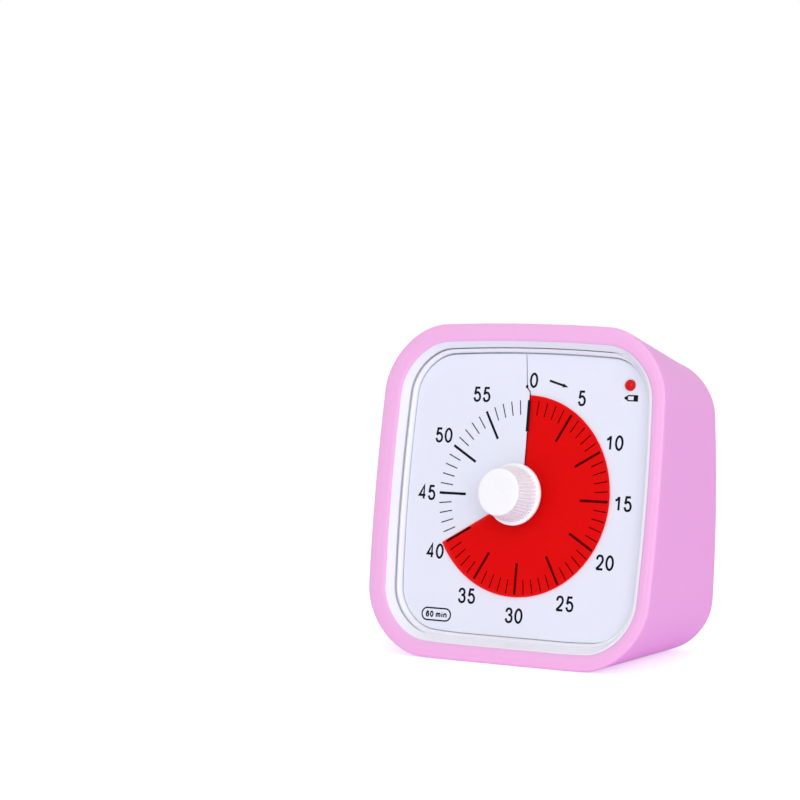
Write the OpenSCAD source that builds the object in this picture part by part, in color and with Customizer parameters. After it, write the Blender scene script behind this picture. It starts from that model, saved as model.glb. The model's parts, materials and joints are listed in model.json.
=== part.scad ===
// Visual countdown timer: a tapered plastic case in a silicone cover, a printed dial with a
// radial slit, and a red film disc that winds out of the slit as the front knob is turned.
//
// Two working frames are used. The dial frame has X to the right, Y up along the leaning
// dial and Z out towards the user, with its origin on the arbor's axis in the dial's plane.
// The back frame has X to the right as seen from behind, Y up along the back and Z out of
// the back, with its origin in the middle of the cover's rear crease.

/* [Cover] */
// Width of the silicone cover across its front
cover_w = 87; // [82:0.5:95]
// Height of the silicone cover along its leaning front
cover_h = 90; // [85:0.5:98]
// Width of the cover at its rear crease
back_w = 78; // [74:0.5:84]
// Height by which the rear crease is lower than the front
taper_h = 11.1; // [9:0.1:13]
// Depth from the front crease to the rear crease on the arbor's axis
cover_d = 38.4; // [37:0.2:48]
// Wall of the silicone cover
cover_t = 2; // [1.4:0.1:2.6]
// Corner radius of the cover's front outline
front_r = 18; // [12:0.5:24]
// Corner radius of the cover's rear outline
back_r = 13.7; // [10:0.5:18]
// Outward bow of each side of the outline
side_bow = 1.5; // [0.2:0.1:2]
// Radius of the cover's front edge
front_edge_r = 1.2; // [0.9:0.1:2.4]
// Radius of the cover's rear edge
back_edge_r = 4; // [3.2:0.2:5]
// Width of the cover's front lip
front_lip = 4.4; // [3.8:0.1:5.4]
// Width of the cover's rear lip
back_lip = 5; // [4.4:0.1:6]
// Angle by which the front leans back
face_tilt = 9.2; // [4:0.2:12]
// Angle by which the back leans forward from upright at its foot
back_lean = 1.5; // [0:0.1:3]
// Flat depth of the underside, which lets the bowed base stand
foot_flat = 0.35; // [0.1:0.05:0.5]

/* [Case] */
// Wall of the plastic case
case_t = 2; // [1.6:0.1:2.4]
// Depth of the front case behind the front crease
front_case_d = 13; // [11:0.5:17]
// Clearance between the cover and the case
cover_fit = 0.15; // [0.1:0.05:0.3]
// Height of the case's rim above the front crease
rim_rise = 0.3; // [0.1:0.05:0.5]
// Width of the sloping bezel, from the lip down to the dial ring
bezel_w = 1.4; // [1:0.1:1.8]
// Height of the groove between the bezel and the dial ring, above the dial
groove_high = 1.67; // [1.4:0.05:2.4]
// Width of the dial ring's visible face
ring_w = 1.7; // [1.2:0.1:2]
// Height of the dial above the floor of the disc well
well_deep = 2; // [1.8:0.1:2.6]
// Thickness of the dial floor
floor_t = 1.6; // [1.2:0.1:2.2]
// Height of the frame's centre above the arbor
frame_rise = 0.05; // [0:0.01:1.5]

/* [Dial and disc] */
// Depth of the dial's plane behind the front crease
dial_depth = 3.9; // [3.6:0.1:5]
// Thickness of the dial plate
dial_t = 0.4; // [0.3:0.05:0.6]
// Radius of the red disc
disc_r = 26.8; // [24:0.1:28]
// Thickness of the red film
disc_t = 0.25; // [0.2:0.05:0.35]
// Air gap between the film and the dial, above and below it
disc_gap = 0.2; // [0.15:0.05:0.3]
// Width of the dial's slit at its outer end
slit_w = 0.4; // [0.3:0.05:0.8]
// Minutes showing in the modelled rest position
rest_minutes = 40; // [5:1:55]
// Radius of the hub that carries the film
hub_r = 5; // [4:0.1:6]
// Radial gap around the hub in the dial's centre hole
hub_gap = 0.6; // [0.4:0.1:1]

/* [Knob and arbor] */
// Diameter of the knob's front face
knob_face_d = 12.8; // [11:0.1:15]
// Diameter of the knob's foot
knob_foot_d = 15; // [13.6:0.1:16]
// Diameter of the knob's flange
knob_flange_d = 16.4; // [16.2:0.1:20]
// Height of the knob's face above the dial
knob_high = 12.2; // [10:0.1:15]
// Height of the flange's top above the dial
flange_top = 4.6; // [3.6:0.1:5.5]
// Thickness of the flange
flange_t = 1; // [0.8:0.1:1.6]
// Diameter of the knob's neck under the flange
knob_neck_d = 12; // [10.4:0.1:13]
// Number of grip grooves on the knob
knob_grooves = 44; // [24:1:60]
// Diameter of the steel arbor
arbor_d = 3; // [2.4:0.1:3.6]
// Running clearance of a shaft in its hole, on the radius
run_fit = 0.05; // [0.02:0.01:0.09]

/* [Gears] */
// Gear module
gear_mod = 0.4; // [0.36:0.01:0.44]
// Teeth of the centre wheel
centre_teeth = 60; // [54:6:60]
// Teeth of the idler's wheel
idler_teeth = 50; // [45:5:50]
// Teeth of both pinions
pinion_teeth = 10; // [10:1:10]
// Thickness of the gear wheels
gear_t = 1.2; // [1:0.1:1.4]

/* [Battery and electronics] */
// Diameter of the battery
battery_d = 14.4; // [13.8:0.1:14.5]
// Length of the battery over its terminal
battery_l = 50.5; // [49.5:0.1:50.8]
// Width of the circuit board
board_w = 46; // [40:1:47]
// Height of the circuit board
board_h = 34; // [30:1:36]
// Thickness of the circuit board
board_t = 1.6; // [1:0.1:1.8]
// Diameter of the buzzer
buzzer_d = 22; // [18:0.5:24]
// Travel of the volume slider to each side
slider_travel = 2; // [1.5:0.1:2.4]
// Diameter of the battery warning light's dome
led_d = 2.9; // [2.4:0.1:3.2]
// Distance of the warning light's axis in from the cover's side
led_in = 13.6; // [13:0.1:14.4]
// Distance of the warning light's axis down from the cover's top
led_down = 15; // [14.4:0.1:15.6]

/* [Hidden] */
$fn = 64;
eps = 0.01;

// Outline of the body
ARC_STEPS = 12;
SIDE_STEPS = 5;

// Frames
back_h = cover_h - taper_h;
back_tilt = face_tilt - back_lean;
front_z = dial_depth;
back_z = dial_depth - cover_d;
front_foot = frame_rise + foot_flat - cover_h / 2;
back_foot = foot_flat - back_h / 2;
foot_drop = front_z * sin(face_tilt) + front_foot * cos(face_tilt);
back_y = (foot_drop - (back_z + back_foot * sin(back_tilt)) * sin(face_tilt)) / cos(face_tilt)
    - back_foot * cos(back_tilt);
arbor_high = -foot_drop;
reach_front = (front_z + front_edge_r) * cos(face_tilt)
    - (front_foot + front_edge_r) * sin(face_tilt);
reach_back = -back_z * cos(face_tilt) + back_y * sin(face_tilt)
    + (back_h / 2 - back_edge_r) * sin(back_lean) + back_edge_r * cos(back_lean);
arbor_y = (reach_front - reach_back) / 2;

// Case
case_in = cover_t + cover_fit;
case_inner = case_in + case_t;
rim_z = front_z + rim_rise;
bezel_open = front_lip + bezel_w;
ring_open = bezel_open + ring_w;
bezel_lap = 0.2;
rim_slope = 0.6;
lip_gap = 0.1;
lip_bevel = 2;
parting = front_case_d / cover_d;
back_face = 2;
well_r = disc_r + 1.6;
land_z = -1.25;
hollow_sink = 0.25;
hollow_end = (front_z + well_deep + hollow_sink) / cover_d;
hollow_slope = 0.4;
inner_bevel = 1;
inner_bevel_deep = 2;

// Wound dial: its top rises by one turn of the winding from the slit clockwise to the slit
wind = dial_t + disc_t + 2 * disc_gap;
WIND_STEPS = 60;
rest_angle = rest_minutes * 6;
hub_bore_r = hub_r + hub_gap;
film_fit = 0.05;
dial_fit = 0.05;
DIAL_ARC = 360 / WIND_STEPS;

// Knob and arbor stack
arbor_r = arbor_d / 2;
knob_low = wind / 2 + disc_gap + disc_t + 0.35;
knob_edge_r = 0.9;
groove_deep = 0.28;
groove_w = 0.5;
hub_low = -well_deep + 0.25;
knob_cap = 2.4;
arbor_top = knob_high - knob_cap;
bush_r = 3;

// Movement
move_top = -well_deep - floor_t;
move_wall = 1.4;
move_deep = 9.6;
move_floor = move_top - move_wall;
move_back_top = move_top - move_deep + move_wall;
move_low = move_top - move_deep;
clip_t = 0.6;
arbor_low = move_low - clip_t - 0.6;
centre_r = centre_teeth * gear_mod / 2;
idler_r = idler_teeth * gear_mod / 2;
pinion_r = pinion_teeth * gear_mod / 2;
centre_mesh = centre_r + pinion_r;
idler_mesh = idler_r + pinion_r;
motor_bearing = 60;
motor_x = -idler_mesh * sin(motor_bearing);
motor_y = centre_mesh - idler_mesh * cos(motor_bearing);
gear_gap = 0.35;
centre_top = move_floor - 0.5;
idler_gear_top = centre_top - gear_t - gear_gap;
groove_foot = 0.4;
groove_cut = 2;
hub_drop = 1.05;
washer_t = 1.1;
washer_low = centre_top - gear_t - hub_drop - run_fit - washer_t;
collar_r = arbor_r + 1.3;
collar_t = 1;
idler_pin_r = 0.75;
pin_sink = 0.4;
pinion_gap = 0.6;
pinion_lap = 0.2;
wheel_room = 3;
move_half_w = centre_r + wheel_room;
move_down = centre_r + wheel_room;
move_up = centre_mesh + idler_r + 2.6;
post_r = 2.2;
post_y = move_up - post_r;
post_x = move_half_w - post_r;
post_low_y = -move_down + post_r;
screw_r = 1;
screw_head_r = 1.9;
screw_head_t = 1.2;
pilot_r = 0.85;
screw_gap = 0.1;
screw_slot_w = 0.5;
screw_slot_t = 0.6;
screw_short = 0.3;
motor_r = 10;
motor_deep = 7.6;
motor_ear_y = motor_r + 2;
motor_ear_r = 2.4;
motor_ear_t = 0.8;
motor_shaft_r = 0.6;
motor_lead_up = 6;

// Battery bay, in the back frame
bay_up = 19.1;
bay_y = bay_up - back_h / 2;
bay_gap = 0.5;
bay_half_h = battery_d / 2 + bay_gap;
spring_l = 6.5;
contact_t = 0.5;
bay_half_l = (battery_l + spring_l + 2 * contact_t) / 2;
bay_wall = 1.5;
bay_floor = -battery_d - 1.3;
battery_w = -battery_d / 2 - 0.4;
battery_end = bay_half_l - contact_t;
nub_l = 1.3;
nub_r = 2.7;
battery_tail = battery_end - battery_l;
door_t = back_face - 0.1;
door_edge = 0.2;
door_half_l = bay_half_l + 1;
door_half_h = bay_half_h + 1.2;
door_foot = bay_y - door_half_h;
tab_w = 6;
tab_x = 16;
tab_t = 1.6;
tab_drop = 1.1;
tab_gap = 0.25;
tab_root = 1.2;
grip_w = 14;
grip_count = 4;
grip_down = 3;
grip_pitch = 1.6;
grip_rise = 0.45;
blade_w = 10;
tail_w = 4;
notch_w = 2.2;

// Board, buzzer and switch, in the back frame
board_y = 13;
board_w_top = -6;
board_post_x = board_w / 2 - 3.5;
board_post_y = board_h / 2 - 3.5;
board_post_r = 2.4;
buzzer_x = -10.5;
buzzer_y = 13;
buzzer_t = 4.6;
buzzer_rim = 1;
buzzer_rim_h = 1.2;
buzzer_port_r = 2;
buzzer_port_t = 0.8;
switch_x = 15;
switch_y = 17;
switch_l = 9;
switch_h = 4;
switch_t = 3.4;
slider_w = 2.2;
slot_gap = 0.2;
slot_half = slider_w / 2 + slider_travel + slot_gap;
slider_base_l = 4.4;
slider_base_t = 0.8;
slider_rise = 1;
switch_wall = 0.4;
switch_pocket = switch_t - slider_base_t - 0.6;
chip_r = 4;
chip_t = 1.2;
chip_x = -12;
chip_y = board_y - 8;
cap_r = 2;
cap_h = 4.6;
cap_x = 16;
cap_y = board_y - 9;

// Case screws, in the back frame; the upper posts stand below the warning light
case_post_r = 2.9;
case_post_up = 6.9;
case_post_low = [23.5, case_post_up - back_h / 2];
case_post_in = -11.5;
case_screw_l = 16;
head_sink = 0.4;
post_gap = 0.05;
post_clip = 0.2;
post_lap = 0.1;

// Warning light, in the dial frame
light_x = cover_w / 2 - led_in;
light_y = frame_rise + cover_h / 2 - led_down;
light_top = 0.9;
light_tail = move_top - 2.8;
light_rim_r = led_d / 2 + 0.5;
dome_squash = 0.7;
light_over_post = 6.6;
case_post_top = [27.2, back_height(light_y - light_over_post, light_tail)];

wire_r = 0.5;
blade_rise = 1.4;
lead_stub = 0.2;
board_face = board_w_top - board_t;
light_lead_x = 4 - board_w / 2;
light_lead_y = board_y + 7;
board_lead_in = 4.5;
board_lead_up = 2.4;
motor_lead_y = back_height(motor_y + motor_lead_up, move_low - motor_deep);
WIRE_SIDES = 8;

// ---- Frames -------------------------------------------------------------------------

module on_face() {
    translate([0, arbor_y, arbor_high])
        rotate([90 - face_tilt, 0, 0])
            children();
}

module on_back() {
    on_face()
        translate([0, back_y, back_z])
            rotate([back_tilt, 0, 0])
                rotate([0, 180, 0])
                    children();
}

// ---- Outline and lofts --------------------------------------------------------------

function rounded(a, b, r) = [
    for (q = [0:3])
        let (
            cx = (q == 0 || q == 3 ? 1 : -1) * (a - r),
            cy = (q < 2 ? 1 : -1) * (b - r),
            nx = (q == 0 ? -1 : q == 1 ? -1 : 1) * (a - r),
            ny = (q == 0 ? 1 : q == 1 ? -1 : q == 2 ? -1 : 1) * (b - r),
            corner = [for (i = [0:ARC_STEPS]) let (t = 90 * (q + i / ARC_STEPS))
                [cx + r * cos(t), cy + r * sin(t)]],
            end = corner[ARC_STEPS],
            next = [nx + r * cos(90 * (q + 1)), ny + r * sin(90 * (q + 1))]
        )
        each concat(corner, [for (i = [1:SIDE_STEPS]) end + (next - end) * i / (SIDE_STEPS + 1)])
];

function bowed(p, a, b) = [
    (p.x + sign(p.x) * side_bow * pow(abs(p.x) / a, 4) * (1 - pow(p.y / b, 2))) * a / (a + side_bow),
    max((p.y + sign(p.y) * side_bow * pow(abs(p.y) / b, 4) * (1 - pow(p.x / a, 2))) * b / (b + side_bow),
        foot_flat - b)
];

function outline(a, b, r) = [for (p = rounded(a, b, r)) bowed(p, a, b)];

function front_ring(inset, rise = 0) = [
    for (p = outline(cover_w / 2 - inset, cover_h / 2 - inset, front_r - inset))
        [p.x, p.y + frame_rise, front_z + rise]
];

function back_ring(inset, rise = 0) = [
    for (p = outline(back_w / 2 - inset, back_h / 2 - inset, back_r - inset)) [
        p.x,
        back_y + p.y * cos(back_tilt) + rise * sin(back_tilt),
        back_z + p.y * sin(back_tilt) - rise * cos(back_tilt)
    ]
];

function mid_ring(t, inset) =
    let (f = front_ring(inset), b = back_ring(inset))
    [for (i = [0:len(f) - 1]) f[i] * (1 - t) + b[i] * t];

// Solid between a list of rings, the first one rearmost
module loft(rings) {
    n = len(rings[0]);
    last = len(rings) - 1;
    sides = [
        for (k = [0:last - 1], i = [0:n - 1])
            [k * n + i, (k + 1) * n + i, (k + 1) * n + (i + 1) % n, k * n + (i + 1) % n]
    ];
    polyhedron(
        points = [for (ring = rings) each ring],
        faces = concat(sides, [[for (i = [0:n - 1]) i]], [[for (i = [n - 1:-1:0]) last * n + i]]),
        convexity = 6
    );
}

// Closed band whose cross-section is the rings taken in order, outside first
module band(rings) {
    n = len(rings[0]);
    m = len(rings);
    polyhedron(
        points = [for (ring = rings) each ring],
        faces = [
            for (k = [0:m - 1], i = [0:n - 1])
                [k * n + i, ((k + 1) % m) * n + i, ((k + 1) % m) * n + (i + 1) % n, k * n + (i + 1) % n]
        ],
        convexity = 8
    );
}

module face_shape(inset) {
    translate([0, frame_rise])
        polygon(outline(cover_w / 2 - inset, cover_h / 2 - inset, front_r - inset));
}

module at_corners(list) {
    for (p = list) translate([p.x, p.y, 0]) children();
}

function mirrored(p) = [[p.x, p.y], [-p.x, p.y]];

function move_posts() = concat(mirrored([post_x, post_y]), mirrored([post_x, post_low_y]));

function motor_ears() = [for (s = [-1, 1]) [motor_x, motor_y + s * motor_ear_y]];

// ---- Cover and case -----------------------------------------------------------------

function edge_arc(r, from, to, steps) = [
    for (i = [0:steps]) let (t = from + (to - from) * i / steps) [r * (1 - cos(t)), r * sin(t)]
];

module silicone_cover() {
    lip_top = front_edge_r;
    lip_r = 0.7 * (lip_top - rim_rise - cover_fit);
    outer_front = [for (q = edge_arc(front_edge_r, 0, 90, 3)) front_ring(q.x, q.y)];
    inner_lip = [
        for (t = [0:30:90])
            front_ring(front_lip - lip_r * (1 - sin(t)), lip_top - lip_r * (1 - cos(t)))
    ];
    outer_back = [for (q = edge_arc(back_edge_r, 90, 0, 3)) back_ring(q.x, q.y)];
    color([0.95, 0.73, 0.91])
        on_face()
            band(concat(
                outer_back,
                outer_front,
                inner_lip,
                [
                    front_ring(front_lip, rim_rise + cover_fit),
                    front_ring(cover_t + rim_slope, rim_rise + cover_fit),
                    front_ring(cover_t, 0),
                    back_ring(cover_t, 0),
                    back_ring(cover_t + lip_bevel, back_face + lip_gap),
                    back_ring(back_lip, back_face + lip_gap)
                ]
            ));
}

module case_post(outer_r, hole_r, from, to) {
    translate([0, 0, from])
        difference() {
            cylinder(r = outer_r, h = to - from);
            translate([0, 0, -eps]) cylinder(r = hole_r, h = to - from + 2 * eps);
        }
}

module front_case() {
    color([0.93, 0.93, 0.95]) {
        on_face()
            difference() {
                union() {
                    difference() {
                        loft([mid_ring(parting, case_in), front_ring(case_in, 0),
                              front_ring(case_in + rim_slope, rim_rise)]);
                        loft([mid_ring(parting + post_lap, case_inner),
                              mid_ring(hollow_end, case_inner + hollow_slope)]);
                    }
                    intersection() {
                        loft([mid_ring(parting, case_in + eps), front_ring(case_in + eps, 0)]);
                        translate([0, 0, move_top])
                            linear_extrude(land_z - move_top + eps) face_shape(case_in);
                    }
                }
                translate([0, 0, land_z])
                    linear_extrude(cover_d) face_shape(bezel_open + bezel_lap);
                bezel_funnel();
                translate([0, 0, -well_deep]) cylinder(r = well_r, h = cover_d, $fn = 96);
                translate([0, 0, move_top - eps]) {
                    cylinder(r = bush_r + run_fit, h = floor_t + 2 * eps);
                    at_corners(move_posts()) cylinder(r = pilot_r, h = floor_t + 2 * eps, $fn = 24);
                    translate([light_x, light_y, 0])
                        cylinder(r = led_d / 2 + run_fit, h = cover_d, $fn = 32);
                }
            }
        on_face() dial_pads();
        front_posts();
    }
}

// Sloping bezel cut, from the lip's opening down to the dial ring
module bezel_funnel() {
    lap = 1;
    slope = bezel_w / (rim_z - groove_high);
    shape_low = front_ring(bezel_open, groove_high - front_z);
    shape_top = front_ring(front_lip - slope * lap, rim_rise + lap);
    loft([shape_low, shape_top]);
}

function dial_top(angle) = wind * angle / 360 - wind / 2;

// Stepped pads that carry the wound dial plate on the case's land
module dial_pads() {
    pad_r = 1.5;
    pad_out = 3.4;
    pad_lead = 5;
    for (angle = [22.5:45:337.5])
        rotate([0, 0, -angle])
            translate([0, well_r + pad_out, land_z - floor_t / 2])
                cylinder(r = pad_r, h = dial_top(angle - pad_lead) - dial_t - land_z + floor_t / 2,
                         $fn = 24);
}

// Posts of the front case that the case screws bite into
module front_posts() {
    intersection() {
        on_back()
            at_corners(case_posts()) case_post(case_post_r, pilot_r, -2 * cover_d, case_post_in);
        on_face()
            loft([mid_ring(1, case_inner + post_clip), mid_ring(0, case_inner + post_clip)]);
        on_face()
            translate([0, 0, move_top - cover_d])
                linear_extrude(cover_d + eps) face_shape(0);
    }
}

module rear_case() {
    color([0.93, 0.93, 0.95])
        difference() {
            union() {
                on_face()
                    difference() {
                        loft([back_ring(case_in + lip_bevel, back_face), back_ring(case_in, 0),
                              mid_ring(parting, case_in)]);
                        loft([back_ring(case_inner + inner_bevel, 0),
                              back_ring(case_inner, -inner_bevel_deep),
                              mid_ring(parting - post_lap, case_inner)]);
                    }
                on_back() {
                    bay_box();
                    at_corners(case_posts()) case_post(case_post_r, pilot_r, case_post_in + post_gap, eps);
                    at_corners(board_posts())
                        case_post(board_post_r, pilot_r, board_w_top, eps);
                    translate([buzzer_x, buzzer_y, 0])
                        case_post(buzzer_d / 2 + buzzer_rim + run_fit, buzzer_d / 2 + run_fit,
                                  -buzzer_rim_h, eps);
                }
            }
            on_back() {
                bay_cut();
                at_corners(case_posts()) {
                    translate([0, 0, case_post_in - 1])
                        cylinder(r = screw_r + 2 * screw_gap, h = cover_d, $fn = 24);
                    translate([0, 0, back_face - screw_head_t - head_sink])
                        cylinder(r = screw_head_r + 3 * screw_gap, h = cover_d, $fn = 32);
                }
                sound_holes();
                translate([switch_x - slot_half, switch_y - slider_w / 2 - slot_gap, -back_face])
                    cube([2 * slot_half, slider_w + 2 * slot_gap, 3 * back_face]);
            }
        }
}

function case_posts() = concat(mirrored(case_post_top), mirrored(case_post_low));

function board_posts() = concat(
    mirrored([board_post_x, board_y + board_post_y]), mirrored([board_post_x, board_y - board_post_y])
);

module bay_box() {
    translate([-bay_half_l - bay_wall, bay_y - bay_half_h - bay_wall, bay_floor - bay_wall])
        cube([2 * (bay_half_l + bay_wall), 2 * (bay_half_h + bay_wall), bay_wall - bay_floor + eps]);
}

module bay_cut() {
    translate([-bay_half_l, bay_y - bay_half_h, bay_floor])
        cube([2 * bay_half_l, 2 * bay_half_h, cover_d]);
    translate([-door_half_l, bay_y - door_half_h, 0])
        cube([2 * door_half_l, 2 * door_half_h, cover_d]);
    for (s = [-1, 1]) {
        translate([s * tab_x - tab_w / 2 - tab_gap, door_foot - tab_drop - 2 * tab_gap, -tab_t - 3 * tab_gap])
            cube([tab_w + 2 * tab_gap, door_half_h, tab_t + 3 * tab_gap]);
        translate([s * (bay_half_l - notch_w / 2) - notch_w / 2, bay_y + bay_half_h - eps,
                   battery_w - tail_w / 2 - slot_gap])
            cube([notch_w, bay_wall + 2 * eps, tail_w + 2 * slot_gap]);
    }
}

module sound_holes() {
    hole_r = 0.75;
    ring_step = 3.2;
    for (ring = [0:2], i = [0:max(6 * ring - 1, 0)])
        translate([buzzer_x, buzzer_y, -back_face])
            rotate([0, 0, 60 * i / max(ring, 1)])
                translate([ring * ring_step, 0, 0])
                    cylinder(r = hole_r, h = 3 * back_face, $fn = 20);
}

module battery_door() {
    foot = door_foot + door_edge;
    color([0.93, 0.93, 0.95])
        on_back() {
            translate([-door_half_l + door_edge, foot, post_gap])
                cube([2 * (door_half_l - door_edge), 2 * (door_half_h - door_edge), door_t]);
            for (s = [-1, 1])
                translate([s * tab_x - tab_w / 2, foot, -tab_t - post_gap]) {
                    translate([0, -tab_drop, 0]) cube([tab_w, tab_drop + tab_root, tab_t]);
                    cube([tab_w, tab_root, tab_t + 2 * post_gap + eps]);
                }
            for (i = [0:grip_count - 1])
                translate([-grip_w / 2, bay_y + door_half_h - grip_down - grip_pitch * i, door_t])
                    cube([grip_w, grip_pitch / 2, grip_rise + post_gap]);
        }
}

// ---- Dial ---------------------------------------------------------------------------

module dial_ring() {
    outer_in = bezel_open + bezel_lap + dial_fit;
    color([0.95, 0.95, 0.97])
        on_face()
            difference() {
                translate([0, 0, wind / 2 + 0.02])
                    linear_extrude(groove_high - wind / 2 - 0.1) face_shape(outer_in);
                loft([front_ring(ring_open, wind / 2 - front_z - 0.1),
                      front_ring(bezel_open + 0.35, groove_high - front_z + 0.1)]);
            }
}

// Plate that winds up around the arbor, from its heights at a list of clockwise angles
function wound_points(angles, lows, tops, inner, outer) = [
    for (i = [0:len(angles) - 1])
        let (s = sin(angles[i]), c = cos(angles[i]))
        each [
            [inner * s, inner * c, lows[i]], [outer * s, outer * c, lows[i]],
            [outer * s, outer * c, tops[i]], [inner * s, inner * c, tops[i]]
        ]
];

module wound_plate(angles, lows, tops, inner, outer) {
    last = len(angles) - 1;
    polyhedron(
        points = wound_points(angles, lows, tops, inner, outer),
        faces = concat(
            [for (i = [0:last - 1], j = [0:3])
                let (a = 4 * i + j, b = 4 * i + (j + 1) % 4) each [[a, b, b + 4], [a, b + 4, a + 4]]],
            [[3, 2, 1, 0]],
            [[4 * last, 4 * last + 1, 4 * last + 2, 4 * last + 3]]
        ),
        convexity = 4
    );
}

module dial_plate() {
    first = asin(slit_w / cover_h);
    angles = [for (i = [0:WIND_STEPS]) first + (360 - 2 * first) * i / WIND_STEPS];
    color([0.9, 0.92, 0.98])
        on_face()
            difference() {
                intersection() {
                    wound_plate(
                        angles,
                        [for (t = angles) dial_top(t) - dial_t],
                        [for (t = angles) dial_top(t)],
                        hub_bore_r,
                        cover_h
                    );
                    translate([0, 0, -cover_d])
                        linear_extrude(2 * cover_d) face_shape(bezel_open + bezel_lap + dial_fit);
                }
                translate([light_x, light_y, -well_deep])
                    cylinder(r = led_d / 2 + run_fit, h = 2 * well_deep, $fn = 32);
            }
}

function film_top(turned) =
    wind * rest_angle / 360 + wind * turned / 360 - wind / 2 - dial_t - disc_gap;

module red_disc() {
    span = 360 - 1;
    angles = [for (i = [0:WIND_STEPS]) 0.5 + span * i / WIND_STEPS];
    color([0.87, 0.07, 0.07])
        on_face()
            rotate([0, 0, -rest_angle])
                wound_plate(
                    angles,
                    [for (t = angles) film_top(t) - disc_t],
                    [for (t = angles) film_top(t)],
                    (hub_r + film_fit) / cos(DIAL_ARC / 2),
                    disc_r
                );
}

// ---- Knob and arbor -----------------------------------------------------------------

module disc_hub() {
    color([0.96, 0.96, 0.97])
        on_face()
            translate([0, 0, hub_low])
                difference() {
                    cylinder(r = hub_r, h = knob_low - hub_low);
                    translate([0, 0, -eps]) cylinder(r = arbor_r, h = knob_low - hub_low + 2 * eps);
                }
}

module knob() {
    face_r = knob_face_d / 2;
    foot_r = knob_foot_d / 2;
    flange_r = knob_flange_d / 2;
    flange_low = flange_top - flange_t;
    flange_bevel = 0.3;
    color([0.98, 0.98, 0.99])
        on_face()
            difference() {
                rotate_extrude()
                    polygon(concat(
                        [[0, knob_low], [knob_neck_d / 2, knob_low], [knob_neck_d / 2, flange_low],
                         [flange_r - flange_bevel, flange_low], [flange_r, flange_low + flange_bevel],
                         [flange_r, flange_top - flange_bevel], [flange_r - flange_bevel, flange_top],
                         [foot_r, flange_top]],
                        [for (t = [0:15:90])
                            [face_r - knob_edge_r * (1 - cos(t)), knob_high - knob_edge_r * (1 - sin(t))]],
                        [[0, knob_high]]
                    ));
                translate([0, 0, knob_low - eps]) cylinder(r = arbor_r, h = arbor_top - knob_low + eps);
                for (i = [0:knob_grooves - 1])
                    rotate([0, 0, 360 * i / knob_grooves]) grip_groove(face_r, foot_r);
            }
}

module grip_groove(face_r, foot_r) {
    run = knob_high - flange_top - knob_edge_r;
    lean = atan((foot_r - face_r) / run);
    translate([foot_r - groove_deep, -groove_w / 2, flange_top + groove_foot])
        rotate([0, -lean, 0])
            cube([groove_cut, groove_w, run]);
}

module arbor() {
    color([0.75, 0.76, 0.78])
        on_face() {
            translate([0, 0, arbor_low]) cylinder(r = arbor_r, h = arbor_top - arbor_low);
            translate([0, 0, washer_low - collar_t]) cylinder(r = collar_r, h = collar_t);
        }
}

module clutch_washer() {
    color([0.85, 0.7, 0.35])
        on_face()
            translate([0, 0, washer_low])
                difference() {
                    union() {
                        cylinder(r = collar_r, h = washer_t / 2);
                        cylinder(r1 = collar_r, r2 = arbor_r + 0.5, h = washer_t);
                    }
                    translate([0, 0, -eps]) cylinder(r = arbor_r, h = 2 * washer_t);
                }
}

module arbor_clip() {
    color([0.3, 0.3, 0.32])
        on_face()
            translate([0, 0, move_low - run_fit - clip_t])
                difference() {
                    cylinder(r = collar_r, h = clip_t);
                    translate([0, 0, -eps]) cylinder(r = arbor_r, h = 2 * clip_t);
                }
}

module centre_bush() {
    color([0.85, 0.7, 0.35])
        on_face()
            difference() {
                translate([0, 0, move_floor]) cylinder(r = bush_r, h = move_wall + floor_t);
                translate([0, 0, move_low]) cylinder(r = arbor_r + run_fit, h = cover_d);
            }
}

// ---- Movement -----------------------------------------------------------------------

function gear_points(teeth) =
    let (
        r = teeth * gear_mod / 2,
        tip = r + 0.85 * gear_mod,
        root = r - 1.15 * gear_mod,
        step = 360 / teeth,
        half_root = 0.30,
        half_pitch = 0.225,
        half_tip = 0.09
    )
    [for (i = [0:teeth - 1], q = [
        [root, -half_root], [r, -half_pitch], [tip, -half_tip],
        [tip, half_tip], [r, half_pitch], [root, half_root]
    ]) let (t = step * (i + q[1])) [q[0] * sin(t), q[0] * cos(t)]];

module gear(teeth, thick) {
    linear_extrude(thick) polygon(gear_points(teeth));
}

module move_shape(inset) {
    translate([-move_half_w + inset, -move_down + inset])
        square([2 * (move_half_w - inset), move_down + move_up - 2 * inset]);
}

module movement_front() {
    color([0.2, 0.2, 0.22])
        on_face()
            difference() {
                translate([0, 0, move_back_top])
                    linear_extrude(move_top - move_back_top) move_shape(0);
                translate([0, 0, move_back_top - eps])
                    linear_extrude(move_floor - move_back_top + eps)
                        difference() {
                            move_shape(move_wall);
                            at_corners(move_posts()) circle(r = post_r, $fn = 32);
                        }
                translate([0, 0, move_top - cover_d]) cylinder(r = bush_r, h = cover_d + eps);
                translate([0, centre_mesh, move_top - cover_d])
                    cylinder(r = idler_pin_r, h = cover_d + eps, $fn = 32);
                at_corners(move_posts())
                    translate([0, 0, move_top - cover_d])
                        cylinder(r = screw_r + screw_gap, h = cover_d + eps, $fn = 24);
            }
}

module movement_back() {
    color([0.25, 0.25, 0.27])
        on_face()
            difference() {
                translate([0, 0, move_low])
                    linear_extrude(move_wall) move_shape(0);
                translate([0, centre_mesh, move_low + pin_sink])
                    cylinder(r = idler_pin_r, h = move_wall, $fn = 32);
                translate([0, 0, move_low - move_wall]) {
                    cylinder(r = arbor_r + run_fit, h = 3 * move_wall);
                    translate([motor_x, motor_y, 0])
                        cylinder(r = pinion_r + pinion_gap, h = 3 * move_wall, $fn = 32);
                    at_corners(move_posts())
                        cylinder(r = screw_r + screw_gap, h = 3 * move_wall, $fn = 24);
                    at_corners(motor_ears()) cylinder(r = pilot_r, h = 3 * move_wall, $fn = 24);
                }
            }
}

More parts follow.
